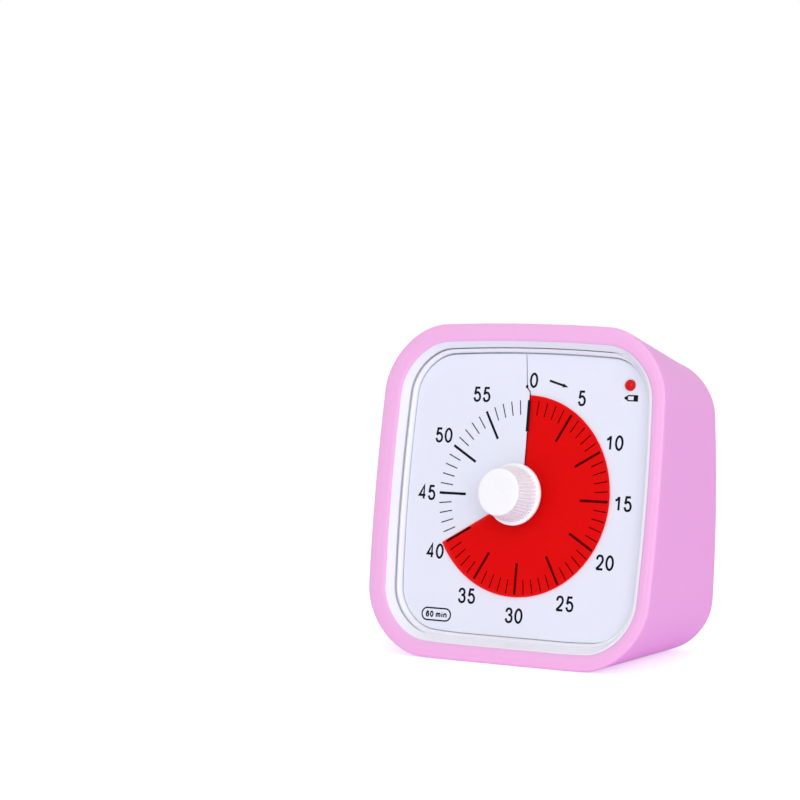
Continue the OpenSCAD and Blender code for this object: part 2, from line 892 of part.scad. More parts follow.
module screw(grip) {
    slot_half_l = 0.65 * screw_head_r;
    translate([0, 0, -screw_head_t])
        difference() {
            cylinder(r = screw_head_r, h = screw_head_t, $fn = 32);
            for (turn = [0, 90])
                rotate([0, 0, turn])
                    translate([-slot_half_l, -screw_slot_w / 2, -eps])
                        cube([2 * slot_half_l, screw_slot_w, screw_slot_t]);
        }
    cylinder(r = pilot_r, h = grip, $fn = 24);
}

module movement_screws() {
    color([0.7, 0.71, 0.73])
        on_face()
            at_corners(move_posts())
                translate([0, 0, move_low]) screw(move_deep + floor_t - screw_short);
}

module centre_wheel() {
    color([0.9, 0.88, 0.8])
        on_face()
            difference() {
                union() {
                    translate([0, 0, centre_top - gear_t]) gear(centre_teeth, gear_t);
                    translate([0, 0, centre_top - gear_t - hub_drop])
                        cylinder(r = collar_r, h = hub_drop + gear_t);
                }
                translate([0, 0, move_low]) cylinder(r = arbor_r + run_fit, h = move_deep);
            }
}

module idler_wheel() {
    color([0.9, 0.88, 0.8])
        on_face()
            translate([0, centre_mesh, 0])
                difference() {
                    union() {
                        translate([0, 0, idler_gear_top - gear_t]) gear(idler_teeth, gear_t);
                        translate([0, 0, centre_top - gear_t - gear_gap])
                            rotate([0, 0, 180 / pinion_teeth])
                                gear(pinion_teeth, gear_t + gear_gap + pinion_lap);
                    }
                    translate([0, 0, move_low])
                        cylinder(r = idler_pin_r + run_fit, h = move_deep, $fn = 32);
                }
}

module idler_pin() {
    color([0.75, 0.76, 0.78])
        on_face()
            translate([0, centre_mesh, move_low + pin_sink])
                cylinder(r = idler_pin_r, h = move_top - move_low - pin_sink, $fn = 32);
}

module motor_pinion() {
    phase = motor_bearing * (1 + idler_teeth / pinion_teeth) + 180 / pinion_teeth;
    color([0.85, 0.7, 0.35])
        on_face()
            translate([motor_x, motor_y, idler_gear_top - gear_t - pinion_lap])
                difference() {
                    rotate([0, 0, phase]) gear(pinion_teeth, gear_t + pinion_lap + run_fit);
                    translate([0, 0, -eps])
                        cylinder(r = motor_shaft_r + run_fit, h = 3 * gear_t, $fn = 32);
                }
}

module motor() {
    color([0.78, 0.79, 0.8])
        on_face()
            translate([motor_x, motor_y, move_low])
                difference() {
                    union() {
                        translate([0, 0, -motor_deep]) cylinder(r = motor_r, h = motor_deep);
                        translate([0, 0, -motor_ear_t])
                            linear_extrude(motor_ear_t) motor_ear_shape();
                        cylinder(r = motor_shaft_r, h = idler_gear_top - move_low, $fn = 32);
                    }
                    for (s = [-1, 1])
                        translate([0, s * motor_ear_y, -2 * motor_ear_t])
                            cylinder(r = screw_r + screw_gap, h = 3 * motor_ear_t, $fn = 24);
                }
}

module motor_ear_shape() {
    square([2 * motor_ear_r, 2 * motor_ear_y], center = true);
    for (s = [-1, 1]) translate([0, s * motor_ear_y]) circle(r = motor_ear_r, $fn = 32);
}

module motor_screws() {
    color([0.7, 0.71, 0.73])
        on_face()
            at_corners(motor_ears())
                translate([0, 0, move_low - motor_ear_t])
                    screw(motor_ear_t + move_wall - screw_short);
}

// ---- Electronics --------------------------------------------------------------------

module control_board() {
    color([0.1, 0.4, 0.2])
        on_back()
            difference() {
                translate([-board_w / 2, board_y - board_h / 2, board_w_top - board_t])
                    cube([board_w, board_h, board_t]);
                at_corners(board_posts())
                    translate([0, 0, -cover_d]) cylinder(r = screw_r + screw_gap, h = cover_d, $fn = 24);
            }
}

module control_chip() {
    color([0.08, 0.08, 0.09])
        on_back()
            translate([chip_x, chip_y, board_w_top - board_t])
                rotate([180, 0, 0])
                    cylinder(r1 = chip_r, r2 = chip_r - chip_t, h = chip_t);
}

module capacitor() {
    color([0.15, 0.2, 0.45])
        on_back()
            translate([cap_x, cap_y, board_w_top])
                cylinder(r = cap_r, h = cap_h, $fn = 40);
}

module volume_switch() {
    color([0.75, 0.76, 0.78])
        on_back()
            translate([switch_x, switch_y, board_w_top])
                difference() {
                    translate([-switch_l / 2, -switch_h / 2, 0]) cube([switch_l, switch_h, switch_t]);
                    translate([-slider_base_l / 2 - slider_travel - slot_gap,
                               switch_wall - switch_h / 2, switch_pocket])
                        cube([slider_base_l + 2 * (slider_travel + slot_gap),
                              switch_h - 2 * switch_wall, slider_base_t + slot_gap]);
                    translate([-slot_half, -slider_w / 2 - slot_gap, switch_pocket + eps])
                        cube([2 * slot_half, slider_w + 2 * slot_gap, switch_t]);
                }
}

module volume_slider() {
    base_low = board_w_top + switch_pocket + slot_gap / 2;
    color([0.15, 0.15, 0.16])
        on_back()
            translate([switch_x, switch_y, base_low]) {
                translate([-slider_base_l / 2, switch_wall + slot_gap / 2 - switch_h / 2, 0])
                    cube([slider_base_l, switch_h - 2 * switch_wall - slot_gap, slider_base_t]);
                translate([-slider_w / 2, -slider_w / 2, 0])
                    cube([slider_w, slider_w, back_face + slider_rise - base_low]);
            }
}

module buzzer() {
    color([0.1, 0.1, 0.11])
        on_back()
            translate([buzzer_x, buzzer_y, -buzzer_t])
                difference() {
                    cylinder(r = buzzer_d / 2, h = buzzer_t);
                    translate([0, 0, buzzer_t - buzzer_port_t])
                        cylinder(r = buzzer_port_r, h = buzzer_t, $fn = 32);
                }
}

module warning_light() {
    dome_r = led_d / 2;
    color([0.85, 0.05, 0.05])
        on_face()
            translate([light_x, light_y, 0]) {
                rotate_extrude($fn = 48)
                    polygon(concat(
                        [[0, light_tail], [light_rim_r, light_tail], [light_rim_r, move_top - run_fit],
                         [dome_r, move_top - run_fit]],
                        [for (t = [0:15:90])
                            [dome_r * cos(t), light_top - dome_r * dome_squash * (1 - sin(t))]]
                    ));
            }
}

module battery() {
    color([0.25, 0.45, 0.3])
        on_back()
            translate([battery_tail, bay_y, battery_w])
                rotate([0, 90, 0]) {
                    cylinder(r = battery_d / 2, h = battery_l - nub_l);
                    cylinder(r = nub_r, h = battery_l, $fn = 32);
                }
}

function coil_points(turns, steps, r_from, r_to, length) = [
    for (i = [0:turns * steps])
        let (t = i / (turns * steps), r = r_from + (r_to - r_from) * t)
        [length * t, r * cos(360 * i / steps), r * sin(360 * i / steps)]
];

function unit(v) = v / norm(v);

// Round bar swept along a list of points
module sweep(points, r, sides) {
    last = len(points) - 1;
    ahead = [for (i = [0:last]) unit(points[min(i + 1, last)] - points[max(i - 1, 0)])];
    side = [for (d = ahead) unit(cross(d, abs(d.z) < 0.9 ? [0, 0, 1] : [1, 0, 0]))];
    verts = [
        for (i = [0:last], j = [0:sides - 1])
            let (up = cross(side[i], ahead[i]), t = 360 * j / sides)
            points[i] + r * (cos(t) * side[i] + sin(t) * up)
    ];
    polyhedron(
        points = verts,
        faces = concat(
            [for (i = [0:last - 1], j = [0:sides - 1])
                let (a = i * sides + j, b = i * sides + (j + 1) % sides)
                each [[a, b, b + sides], [a, b + sides, a + sides]]],
            [[for (j = [sides - 1:-1:0]) j]],
            [[for (j = [0:sides - 1]) last * sides + j]]
        ),
        convexity = 6
    );
}

module contact_blade(side) {
    low = side > 0 ? battery_end : -bay_half_l;
    translate([low, bay_y - blade_w / 2, battery_w - blade_w / 2])
        cube([contact_t, blade_w, blade_w]);
    translate([low, bay_y, battery_w - tail_w / 2])
        cube([contact_t, bay_half_h + bay_wall + blade_rise, tail_w]);
}

module battery_spring() {
    wire = 0.35;
    turns = 5;
    start = -battery_end + wire;
    color([0.75, 0.76, 0.78])
        on_back() {
            contact_blade(-1);
            translate([start, bay_y, battery_w])
                sweep(coil_points(turns, 12, 4.6, 2.4, battery_tail - start - wire), wire, 6);
        }
}

module battery_plate() {
    color([0.75, 0.76, 0.78]) on_back() contact_blade(1);
}

module case_screws() {
    color([0.7, 0.71, 0.73])
        on_back()
            at_corners(concat(mirrored(case_post_top), mirrored(case_post_low)))
                translate([0, 0, back_face - head_sink - screw_head_t])
                    rotate([180, 0, 0]) screw(case_screw_l);
}

module board_screws() {
    color([0.7, 0.71, 0.73])
        on_back()
            at_corners(board_posts())
                translate([0, 0, board_w_top - board_t]) screw(board_t - board_w_top - screw_short);
}

// ---- Wiring -------------------------------------------------------------------------

// Height in the back frame of a point of the dial frame
function back_height(y, z) = (y - back_y) * cos(back_tilt) + (z - back_z) * sin(back_tilt);

// Point of the back frame, in the dial frame
function from_back(p) = [
    -p.x,
    back_y + p.y * cos(back_tilt) + p.z * sin(back_tilt),
    back_z + p.y * sin(back_tilt) - p.z * cos(back_tilt)
];

module wire(points) {
    sweep(points, wire_r, WIRE_SIDES);
}

module battery_leads() {
    blade_top = bay_y + bay_half_h + bay_wall + blade_rise;
    start = bay_half_l - wire_r;
    inward = board_post_x - board_lead_in - start;
    upward = board_y - board_h / 2 + board_lead_up - blade_top;
    color([0.8, 0.1, 0.1])
        on_back()
            for (s = [-1, 1])
                wire([
                    [s * start, blade_top, battery_w],
                    [s * start, blade_top + 0.26 * upward, battery_w],
                    [s * (start + 0.19 * inward), blade_top + 0.58 * upward, battery_w - 2],
                    [s * (start + 0.55 * inward), blade_top + 0.77 * upward, board_face - 2.6],
                    [s * (start + 0.93 * inward), blade_top + 0.95 * upward, board_face - 1.9],
                    [s * (start + inward), blade_top + upward, board_face - 1],
                    [s * (start + inward), blade_top + upward, board_face]
                ]);
}

module buzzer_leads() {
    color([0.15, 0.15, 0.16])
        on_back()
            for (s = [-1, 1])
                wire([
                    [buzzer_x + s * 2, buzzer_y - 6, -buzzer_t],
                    [buzzer_x + s * 2, buzzer_y - 6, board_w_top]
                ]);
}

module motor_leads() {
    color([0.2, 0.35, 0.75])
        on_face()
            for (s = [-1, 1])
                wire([
                    [motor_x + s * 2, motor_y + motor_lead_up, move_low - motor_deep],
                    from_back([-motor_x - s * 2, motor_lead_y, board_face - lead_stub]),
                    from_back([-motor_x - s * 2, motor_lead_y, board_face])
                ]);
}

module light_leads() {
    run = -light_lead_x - light_x;
    color([0.8, 0.1, 0.1])
        on_face()
            for (s = [-1, 1])
                wire([
                    [light_x + s * 0.8, light_y, light_tail],
                    [light_x + s * 0.8, light_y, light_tail - 3],
                    [light_x + 0.28 * run + s * 0.8, light_y + 0.3, light_tail - 7],
                    [light_x + 0.6 * run + s * 0.8, light_y - 1.5, light_tail - 11],
                    from_back([light_lead_x - s * 0.8, light_lead_y + 1.4, board_face - 3]),
                    from_back([light_lead_x - s * 0.8, light_lead_y, board_face - 1.5]),
                    from_back([light_lead_x - s * 0.8, light_lead_y, board_face])
                ]);
}

// ---- Nodes --------------------------------------------------------------------------

silicone_cover();
front_case();
rear_case();
dial_ring();
dial_plate();
red_disc();
disc_hub();
knob();
arbor();
clutch_washer();
arbor_clip();
centre_bush();
movement_front();
movement_back();
movement_screws();
centre_wheel();
idler_wheel();
idler_pin();
motor_pinion();
motor();
motor_screws();
control_board();
control_chip();
capacitor();
volume_switch();
volume_slider();
buzzer();
warning_light();
battery();
battery_spring();
battery_plate();
battery_door();
case_screws();
board_screws();
battery_leads();
buzzer_leads();
motor_leads();
light_leads();
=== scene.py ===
"""Dresses the countdown timer's frame with fine shells, print, film, knob, finishes and light."""

import json
import math

import bmesh
import bpy
from bpy.props import FloatProperty, FloatVectorProperty, IntProperty, PointerProperty
from mathutils import Matrix, Vector


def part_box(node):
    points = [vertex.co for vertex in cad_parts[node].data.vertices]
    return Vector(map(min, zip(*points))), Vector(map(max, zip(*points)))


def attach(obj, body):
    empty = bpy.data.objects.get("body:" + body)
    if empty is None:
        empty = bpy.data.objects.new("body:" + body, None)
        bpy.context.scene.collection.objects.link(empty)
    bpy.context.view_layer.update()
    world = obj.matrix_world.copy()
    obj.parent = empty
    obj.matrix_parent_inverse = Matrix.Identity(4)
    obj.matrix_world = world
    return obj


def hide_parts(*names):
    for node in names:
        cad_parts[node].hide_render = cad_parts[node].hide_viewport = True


bl_info = {
    "name": "Countdown Timer",
    "version": (1, 0, 0),
    "blender": (4, 5, 0),
    "location": "View3D > Sidebar > Timer",
    "description": "Makes the visible pieces and finishes of a visual countdown timer",
    "category": "Object",
}

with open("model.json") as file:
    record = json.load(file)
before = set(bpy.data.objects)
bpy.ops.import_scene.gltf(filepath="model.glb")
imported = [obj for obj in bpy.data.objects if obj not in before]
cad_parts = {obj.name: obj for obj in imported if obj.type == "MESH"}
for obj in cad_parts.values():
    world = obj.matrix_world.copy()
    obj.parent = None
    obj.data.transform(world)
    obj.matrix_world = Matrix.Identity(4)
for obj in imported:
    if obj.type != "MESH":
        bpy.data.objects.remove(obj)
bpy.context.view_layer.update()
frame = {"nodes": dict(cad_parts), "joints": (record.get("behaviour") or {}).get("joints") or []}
JOINTS = {joint["name"]: joint for joint in frame["joints"]}
MM = 0.001

# The dial's own axes: right, up along the leaning face, and out towards the user.
ARBOR = Vector(JOINTS["knob_turn"]["pos_m"])
OUT = -Vector(JOINTS["knob_turn"]["axis"])
RIGHT = Vector((1, 0, 0))
UP = OUT.cross(RIGHT)

# Sizes of the frame's shells in millimetres, in the dial's axes.
FRONT = {"half": (43.5, 45.0), "corner": 18.0, "lift": 0.05, "depth": 3.9}
BACK = {"half": (39.0, 39.45), "corner": 13.7, "lift": 1.2154, "depth": -34.5}
BACK_LEAN = math.radians(7.7)
BOW = 1.5
BOW_POWER = 4
FOOT_FLAT = 0.35
CORNER_STEPS = 22
SIDE_STEPS = 11

# The cover's section as (inset, rise) pairs; its crown also says how far each ring moves aside.
BACK_EDGE = 4.0
LIP_CROWN = ((1.6, 1.09, 0.1), (2.1, 1.13, 0.3), (2.6, 1.12, 0.6))
FRONT_INSIDE = ((2.6, 0.45), (2.0, 0.0))
BACK_INSIDE = ((2.0, 0.0), (4.0, 2.1), (5.0, 2.1), (5.3, 2.5), (5.3, 3.4), (4.9, 3.9))

# The sections of the bezel's slope and of the dial's ring as (inset, height) pairs.
SLOPE_FRONT = ((3.5, 4.22), (4.3, 4.3), (4.42, 4.28), (4.53, 4.16))
SLOPE_BACK = ((5.65, 1.56), (4.2, 4.05))
SLOPE_FOOT = 5.8
RING_OUTSIDE = ((6.1, 0.56), (6.1, 1.24), (6.4, 1.26), (6.48, 1.5))
RING_INSIDE = (
    (6.54, 1.56), (6.62, 1.6), (6.72, 1.55), (7.08, 0.9), (7.15, 0.76), (7.19, -1.0), (6.9, -1.0),
)

# The dial sheet rises by one film pitch per turn, and stays inside the frame's thicker sheet.
WIND = 1.05
CAD_SHEET = 0.4
SHEET_THICK = 0.2
SHEET_INSET = 7.44
SHEET_RADII = (5.6, 10, 16, 22, 25.5, 26.9, 27.25, 27.6, 27.95, 28.3, 28.55, 28.8, 29.6, 30.5)
FILM_THICK = 0.25
FILM_REST = 240.0
FILM_LIFT = -0.425
FILM_RADIUS = 26.7
FILM_RADII = (5.05, 9.0, 14.0, 19.0, 23.0, 26.0, FILM_RADIUS - 0.1, FILM_RADIUS)
FILM_ENDS = (0.5, 359.5)
LIGHT_SPOT = (29.9, 30.05)
LIGHT_HOLE = 1.5

# How far right of and above the arbor pieces lie, as the soft cover pulls them.
FILM_ASIDE = (-0.24, -0.14)
LIP_ASIDE = (0.75, -0.22)
SLOPE_ASIDE = (0.3, 0.0)
RING_OUTSIDE_ASIDE = (0.5, -0.15)
RING_INSIDE_ASIDE = (0.55, 0.0)
SHEET_ASIDE = (0.55, -0.08)
PRINT_SHIFT = (0.25, -0.62)
TICK_ASIDE = (-0.12, 0.16)

# Stops of the slit by radius: its turn off upright in degrees, and how much wider it is than
# beside the film.
SLIT_TURNS = (
    (0, 0.6), (8, 0.6), (26.9, 0.1), (27.6, -0.3), (28.3, -1.7), (28.8, -2.1), (37.2, -3.1),
    (60, -3.1),
)
SLIT_SHARES = ((0, 1.0), (27.2, 1.0), (27.9, 2.4), (28.6, 2.6), (29.2, 1.8), (60, 1.8))

# Outside the film the slit's two edges come level by a share, over a turn in degrees; beside the
# film they are pressed apart, by heights that fade along an arc.
LEVEL = 0.86
LEVEL_STOPS = ((0, 0.0), (27.2, 0.0), (30.5, LEVEL), (60, LEVEL))
LEVEL_TURN = 18
PRESSED_RIGHT = 0.1
PRESSED_LEFT = -0.19
PRESSED_ARC = 4


# ---------- places and meshes


def seat(x, y, z):
    """A point given in the dial's axes in millimetres, in the frame in metres."""
    return ARBOR + (RIGHT * x + UP * y + OUT * z) * MM


def on_circle(centre, radius, turn):
    """A point of a circle at an angle in radians."""
    return centre[0] + radius * math.cos(turn), centre[1] + radius * math.sin(turn)


def outline(half_w, half_h, corner):
    """A rounded rectangle with bowed sides and a flat foot, counter-clockwise."""
    points = []
    signs = ((1, 1), (-1, 1), (-1, -1), (1, -1))
    for quarter, (sx, sy) in enumerate(signs):
        nx, ny = signs[(quarter + 1) % 4]
        centre = (sx * (half_w - corner), sy * (half_h - corner))
        ahead = (nx * (half_w - corner), ny * (half_h - corner))
        for step in range(CORNER_STEPS + 1):
            points.append(on_circle(centre, corner, math.pi / 2 * (quarter + step / CORNER_STEPS)))
        last = points[-1]
        first = on_circle(ahead, corner, math.pi / 2 * (quarter + 1))
        for step in range(1, SIDE_STEPS + 1):
            part = step / (SIDE_STEPS + 1)
            points.append(tuple(a + (b - a) * part for a, b in zip(last, first)))
    return [bowed(x, y, half_w, half_h) for x, y in points]


def bowed(x, y, half_w, half_h):
    """Moves a point of a rounded rectangle out onto its bowed side."""
    wide = BOW * (abs(x) / half_w) ** BOW_POWER * (1 - (y / half_h) ** 2)
    tall = BOW * (abs(y) / half_h) ** BOW_POWER * (1 - (x / half_w) ** 2)
    x = (x + math.copysign(wide, x)) * half_w / (half_w + BOW)
    y = (y + math.copysign(tall, y)) * half_h / (half_h + BOW)
    return x, max(y, FOOT_FLAT - half_h)


def front_ring(inset, rise):
    """The front outline, so far inside the cover's edge and so far out of its plane."""
    half_w, half_h = FRONT["half"]
    ring = outline(half_w - inset, half_h - inset, max(FRONT["corner"] - inset, 1))
    return [(x, y + FRONT["lift"], FRONT["depth"] + rise) for x, y in ring]


def face_ring(inset, height):
    """The front outline at a height over the dial's middle plane."""
    return front_ring(inset, height - FRONT["depth"])


def back_ring(inset, rise):
    """The back outline, so far inside the cover's edge and so far behind its plane."""
    half_w, half_h = BACK["half"]
    up, away = math.cos(BACK_LEAN), math.sin(BACK_LEAN)
    ring = outline(half_w - inset, half_h - inset, max(BACK["corner"] - inset, 1))
    return [
        (x, BACK["lift"] + y * up + rise * away, BACK["depth"] + y * away - rise * up)
        for x, y in ring
    ]


def mid_ring(part):
    """A ring between the back outline and the front one."""
    return [
        tuple(b + (f - b) * part for f, b in zip(front, back))
        for front, back in zip(front_ring(0, 0), back_ring(0, 0))
    ]


def shifted(ring, part=1.0, aside=LIP_ASIDE):
    """A ring moved by a share of the lip's offset, or of another one."""
    return [(x + part * aside[0], y + part * aside[1], z) for x, y, z in ring]


def section_rings(section, aside):
    """The face rings of a section of (inset, height) pairs, moved aside."""
    return [shifted(face_ring(inset, height), 1.0, aside) for inset, height in section]


def solid(name, points, faces, crease=35.0):
    """A closed, smooth object from points in the dial's axes, sharp where its faces turn hard."""
    mesh = bpy.data.meshes.new(name)
    mesh.from_pydata([seat(*point) for point in points], [], faces)
    build = bmesh.new()
    build.from_mesh(mesh)
    bmesh.ops.remove_doubles(build, verts=build.verts, dist=1e-7)
    bmesh.ops.recalc_face_normals(build, faces=build.faces)
    build.to_mesh(mesh)
    build.free()
    smooth_mesh(mesh, crease)
    return new_object(name, mesh)


def new_object(name, data):
    """An object of the scene from its mesh, lamp or camera data."""
    made = bpy.data.objects.new(name, data)
    bpy.context.scene.collection.objects.link(made)
    return made


def smooth_mesh(mesh, crease):
    """Smooths a mesh but for the edges that turn by more than a crease in degrees."""
    mesh.shade_smooth()
    mesh.set_sharp_from_angle(angle=math.radians(crease))


def loop_faces(rows, count, closed_rows=True, closed_row=True):
    """Quads between rows of points, as numbers into one list."""
    faces = []
    for row in range(rows if closed_rows else rows - 1):
        here, after = row * count, (row + 1) % rows * count
        for step in range(count if closed_row else count - 1):
            ahead = (step + 1) % count
            faces.append((here + step, here + ahead, after + ahead, after + step))
    return faces


def band(name, rings, crease=35.0):
    """A closed band whose section is a closed loop of rings."""
    points = [point for ring in rings for point in ring]
    return solid(name, points, loop_faces(len(rings), len(rings[0])), crease)


def finish_piece(piece, body, material, replaced=()):
    """Gives a piece its material and its body, and hides the CAD nodes that it replaces."""
    piece.data.materials.clear()
    piece.data.materials.append(material)
    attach(piece, body)
    if replaced:
        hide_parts(*replaced)


def dress(node, material):
    """Gives a kept CAD node its finish."""
    piece = frame["nodes"][node]
    if not piece.material_slots:
        piece.data.materials.append(None)
    for place in piece.material_slots:
        place.material = material


def quarter_arc(radius, steps):
    """(inset, rise) pairs round a quarter of an edge, which start on its flat side."""
    turns = [math.radians(90 - 90 * step / steps) for step in range(steps + 1)]
    return [(radius * (1 - math.cos(turn)), radius * math.sin(turn)) for turn in turns]


def between(stops, place):
    """A value read off a line of (place, value) stops."""
    for (start, low), (end, high) in zip(stops, stops[1:]):
        if place <= end:
            return low + (high - low) * max(0.0, place - start) / (end - start)
    return stops[-1][1]


def sheet_height(radius, turn):
    """Height of the dial sheet's face at a radius and at a turn counted on from the slit."""
    wound = (WIND - CAD_SHEET + SHEET_THICK) * turn / 360 - WIND / 2
    middle = -WIND / 4
    closed = between(LEVEL_STOPS, radius)
    turn %= 360
    off = min(turn, 360 - turn)
    near = math.exp(-((off / LEVEL_TURN) ** 2))
    arc = math.radians(off) * radius
    side = PRESSED_RIGHT if turn < 180 else PRESSED_LEFT
    pressed = side * math.exp(-((arc / PRESSED_ARC) ** 2)) * (1 - closed / LEVEL)
    return wound + (middle - wound) * closed * near + pressed


def slit_turn(radius):
    """Degrees by which the dial's slit stands off its upright line at a radius."""
    return between(SLIT_TURNS, radius)


def dial_height(x, y):
    """Height of the printed dial's face over its middle plane at a point."""
    radius = math.hypot(x, y)
    return sheet_height(radius, (math.degrees(math.atan2(x, y)) - slit_turn(radius)) % 360)


def polar(radius, turn):
    """A point of the dial from its radius and its clockwise turn in degrees."""
    return radius * math.sin(math.radians(turn)), radius * math.cos(math.radians(turn))


def edge_radius(ring, turn):
    """How far a ring lies from the arbor in a direction given as a clockwise turn."""
    aim = Vector(polar(1, turn))
    for (x0, y0, _), (x1, y1, _) in zip(ring, ring[1:] + ring[:1]):
        start, along = Vector((x0, y0)), Vector((x1 - x0, y1 - y0))
        cross = aim.x * along.y - aim.y * along.x
        if abs(cross) < 1e-9:
            continue
        reach = (start.x * along.y - start.y * along.x) / cross
        part = (start.x * aim.y - start.y * aim.x) / cross
        if reach > 0 and -1e-6 <= part <= 1 + 1e-6:
            return reach
    raise ValueError("no edge in that direction")


# ---------- finishes


class Shade:
    """A socket that Python's operators work on."""

    def __init__(self, kit, socket):
        self.kit, self.socket = kit, socket

    def beside(self, output):
        """Another output of the same node."""
        return Shade(self.kit, self.socket.node.outputs[output])

    def join(self, operation, first, second):
        return self.kit.add("Math", {"operation": operation}, {0: first, 1: second})

    def __add__(self, other):
        return self.join("ADD", self, other)

    def __radd__(self, other):
        return self.join("ADD", other, self)

    def __sub__(self, other):
        return self.join("SUBTRACT", self, other)

    def __rsub__(self, other):
        return self.join("SUBTRACT", other, self)

    def __mul__(self, other):
        return self.join("MULTIPLY", self, other)

    def __rmul__(self, other):
        return self.join("MULTIPLY", other, self)

    def __gt__(self, other):
        return self.join("GREATER_THAN", self, other)


class Nodes:
    """The nodes of a material or of the world, with one method that adds any node."""

    def __init__(self, owner):
        owner.use_nodes = True
        self.tree = owner.node_tree
        self.tree.nodes.clear()

    def add(self, kind, settings=None, inputs=None, output=0):
        """Adds a node from its type, its settings and its sockets' values or links."""
        node = self.tree.nodes.new("ShaderNode" + kind)
        for key, value in (settings or {}).items():
            setattr(node, key, value)
        for key, value in (inputs or {}).items():
            place = node.inputs[key]
            if isinstance(value, Shade):
                self.tree.links.new(value.socket, place)
            else:
                place.default_value = value
        return Shade(self, node.outputs[output]) if node.outputs else None


class Finish(Nodes):
    """A material and the steps that its finish is made of."""

    # The Mix node's sockets for colours: its mask, its two ends and its result.
    MIX_MASK, MIX_LOW, MIX_HIGH, MIX_RESULT = 0, 6, 7, 2

    def __init__(self, name):
        self.material = bpy.data.materials.new(name)
        super().__init__(self.material)
        self.place = self.add("TexCoord", output="Object")

    def noise(self, size, detail=2.0, rough=0.5, stretch=(1, 1, 1)):
        """Soft noise whose spots are about a size in millimetres."""
        place = self.add("Mapping", inputs={"Vector": self.place, "Scale": stretch})
        inputs = {"Vector": place, "Scale": 1 / (size * MM), "Detail": detail, "Roughness": rough}
        return self.add("TexNoise", inputs=inputs)

    def outward(self, vector):
        """How far a vector reaches along the dial's outward axis."""
        inputs = {0: vector, 1: OUT}
        return self.add("VectorMath", {"operation": "DOT_PRODUCT"}, inputs, "Value")

    def tint(self, mask, low, high):
        """A colour between two, by a mask."""
        low, high = (end if isinstance(end, Shade) else (*end, 1) for end in (low, high))
        inputs = {self.MIX_MASK: mask, self.MIX_LOW: low, self.MIX_HIGH: high}
        return self.add("Mix", {"data_type": "RGBA"}, inputs, self.MIX_RESULT)

    def bump(self, height, depth):
        """A bump from a height between 0 and 1 and a depth in millimetres."""
        return self.add("Bump", inputs={"Height": height, "Distance": depth * MM})

    def surface(self, **inputs):
        """The main shader; sockets are named in lower case with underscores."""
        names = {key: key.replace("_", " ").title().replace("Ior", "IOR") for key in inputs}
        return self.add("BsdfPrincipled", inputs={names[key]: inputs[key] for key in inputs})

    def close(self, shader):
        """Ends the material with its shader."""
        self.add("OutputMaterial", inputs={"Surface": shader})
        return self.material


def shift(colour, amount):
    """A colour made lighter or darker by a share."""
    return tuple(min(1.0, max(0.0, part * (1 + amount))) for part in colour)


def moulded(name, colour, rough=0.4, grain=0.15, depth=0.01, change=0.02, **more):
    """Moulded plastic or rubber: a fine grain, cloudy gloss and a faint change of colour."""
    kit = Finish(name)
    cloud = kit.noise(9.0, detail=3.0)
    grit = kit.noise(grain, rough=0.6)
    base = kit.tint(cloud, shift(colour, -change), shift(colour, change))
    gloss = rough - 0.05 + 0.06 * cloud + 0.05 * grit
    bump = kit.bump(grit, depth)
    return kit.close(kit.surface(base_color=base, roughness=gloss, normal=bump, **more))


def drawn_metal(name, colour, rough=0.3, stretch=(1, 1, 0.06), change=0.12):
    """Drawn or rolled metal with fine lines along one way and a slightly clouded shine."""
    kit = Finish(name)
    lines = kit.noise(0.25, detail=4.0, rough=0.7, stretch=stretch)
    cloud = kit.noise(3.0)
    base = kit.tint(lines, shift(colour, -change), shift(colour, change * 0.5))
    gloss = rough - 0.06 + 0.1 * lines + 0.08 * cloud
    bump = kit.bump(lines, 0.004)
    return kit.close(kit.surface(base_color=base, metallic=1.0, roughness=gloss, normal=bump))


# ---------- settings


def colour_setting(name, description, default):
    """A colour that a user can change."""
    return FloatVectorProperty(
        name=name, description=description, default=default, subtype="COLOR", size=3, min=0, max=1
    )


def length_setting(name, description, default_mm):
    """A length that a user can change, whose default is given in millimetres."""
    return FloatProperty(
        name=name, description=description, default=default_mm * MM, unit="LENGTH", min=0
    )


def power_setting(name, description, default):
    """A lamp's power that a user can change."""
    return FloatProperty(name=name, description=description, default=default, unit="POWER")


class CoverSettings(bpy.types.PropertyGroup):
    colour: colour_setting("Silicone", "Colour of the soft cover", (0.905, 0.410, 0.805))
    # The front lip's paler colour is a painted sheen of the light in front of the timer.
    sheen_lip_colour: colour_setting(
        "Front lip", "Colour of the lip, paler where it is thin", (0.905, 0.468, 0.785)
    )
    crease: FloatProperty(
        name="Front crease", default=0.86,
        description="How sharply the front rim meets the sides, from 0 to 1",
    )
    grain: length_setting("Grain", "Size of the silicone's moulded grain", 0.22)


class CaseSettings(bpy.types.PropertyGroup):
    colour: colour_setting("Case", "Colour of the case and its bezel", (0.875, 0.89, 0.95))
    proud: length_setting("Bezel skin", "How far the bezel's skin stands out of the case", 0.14)


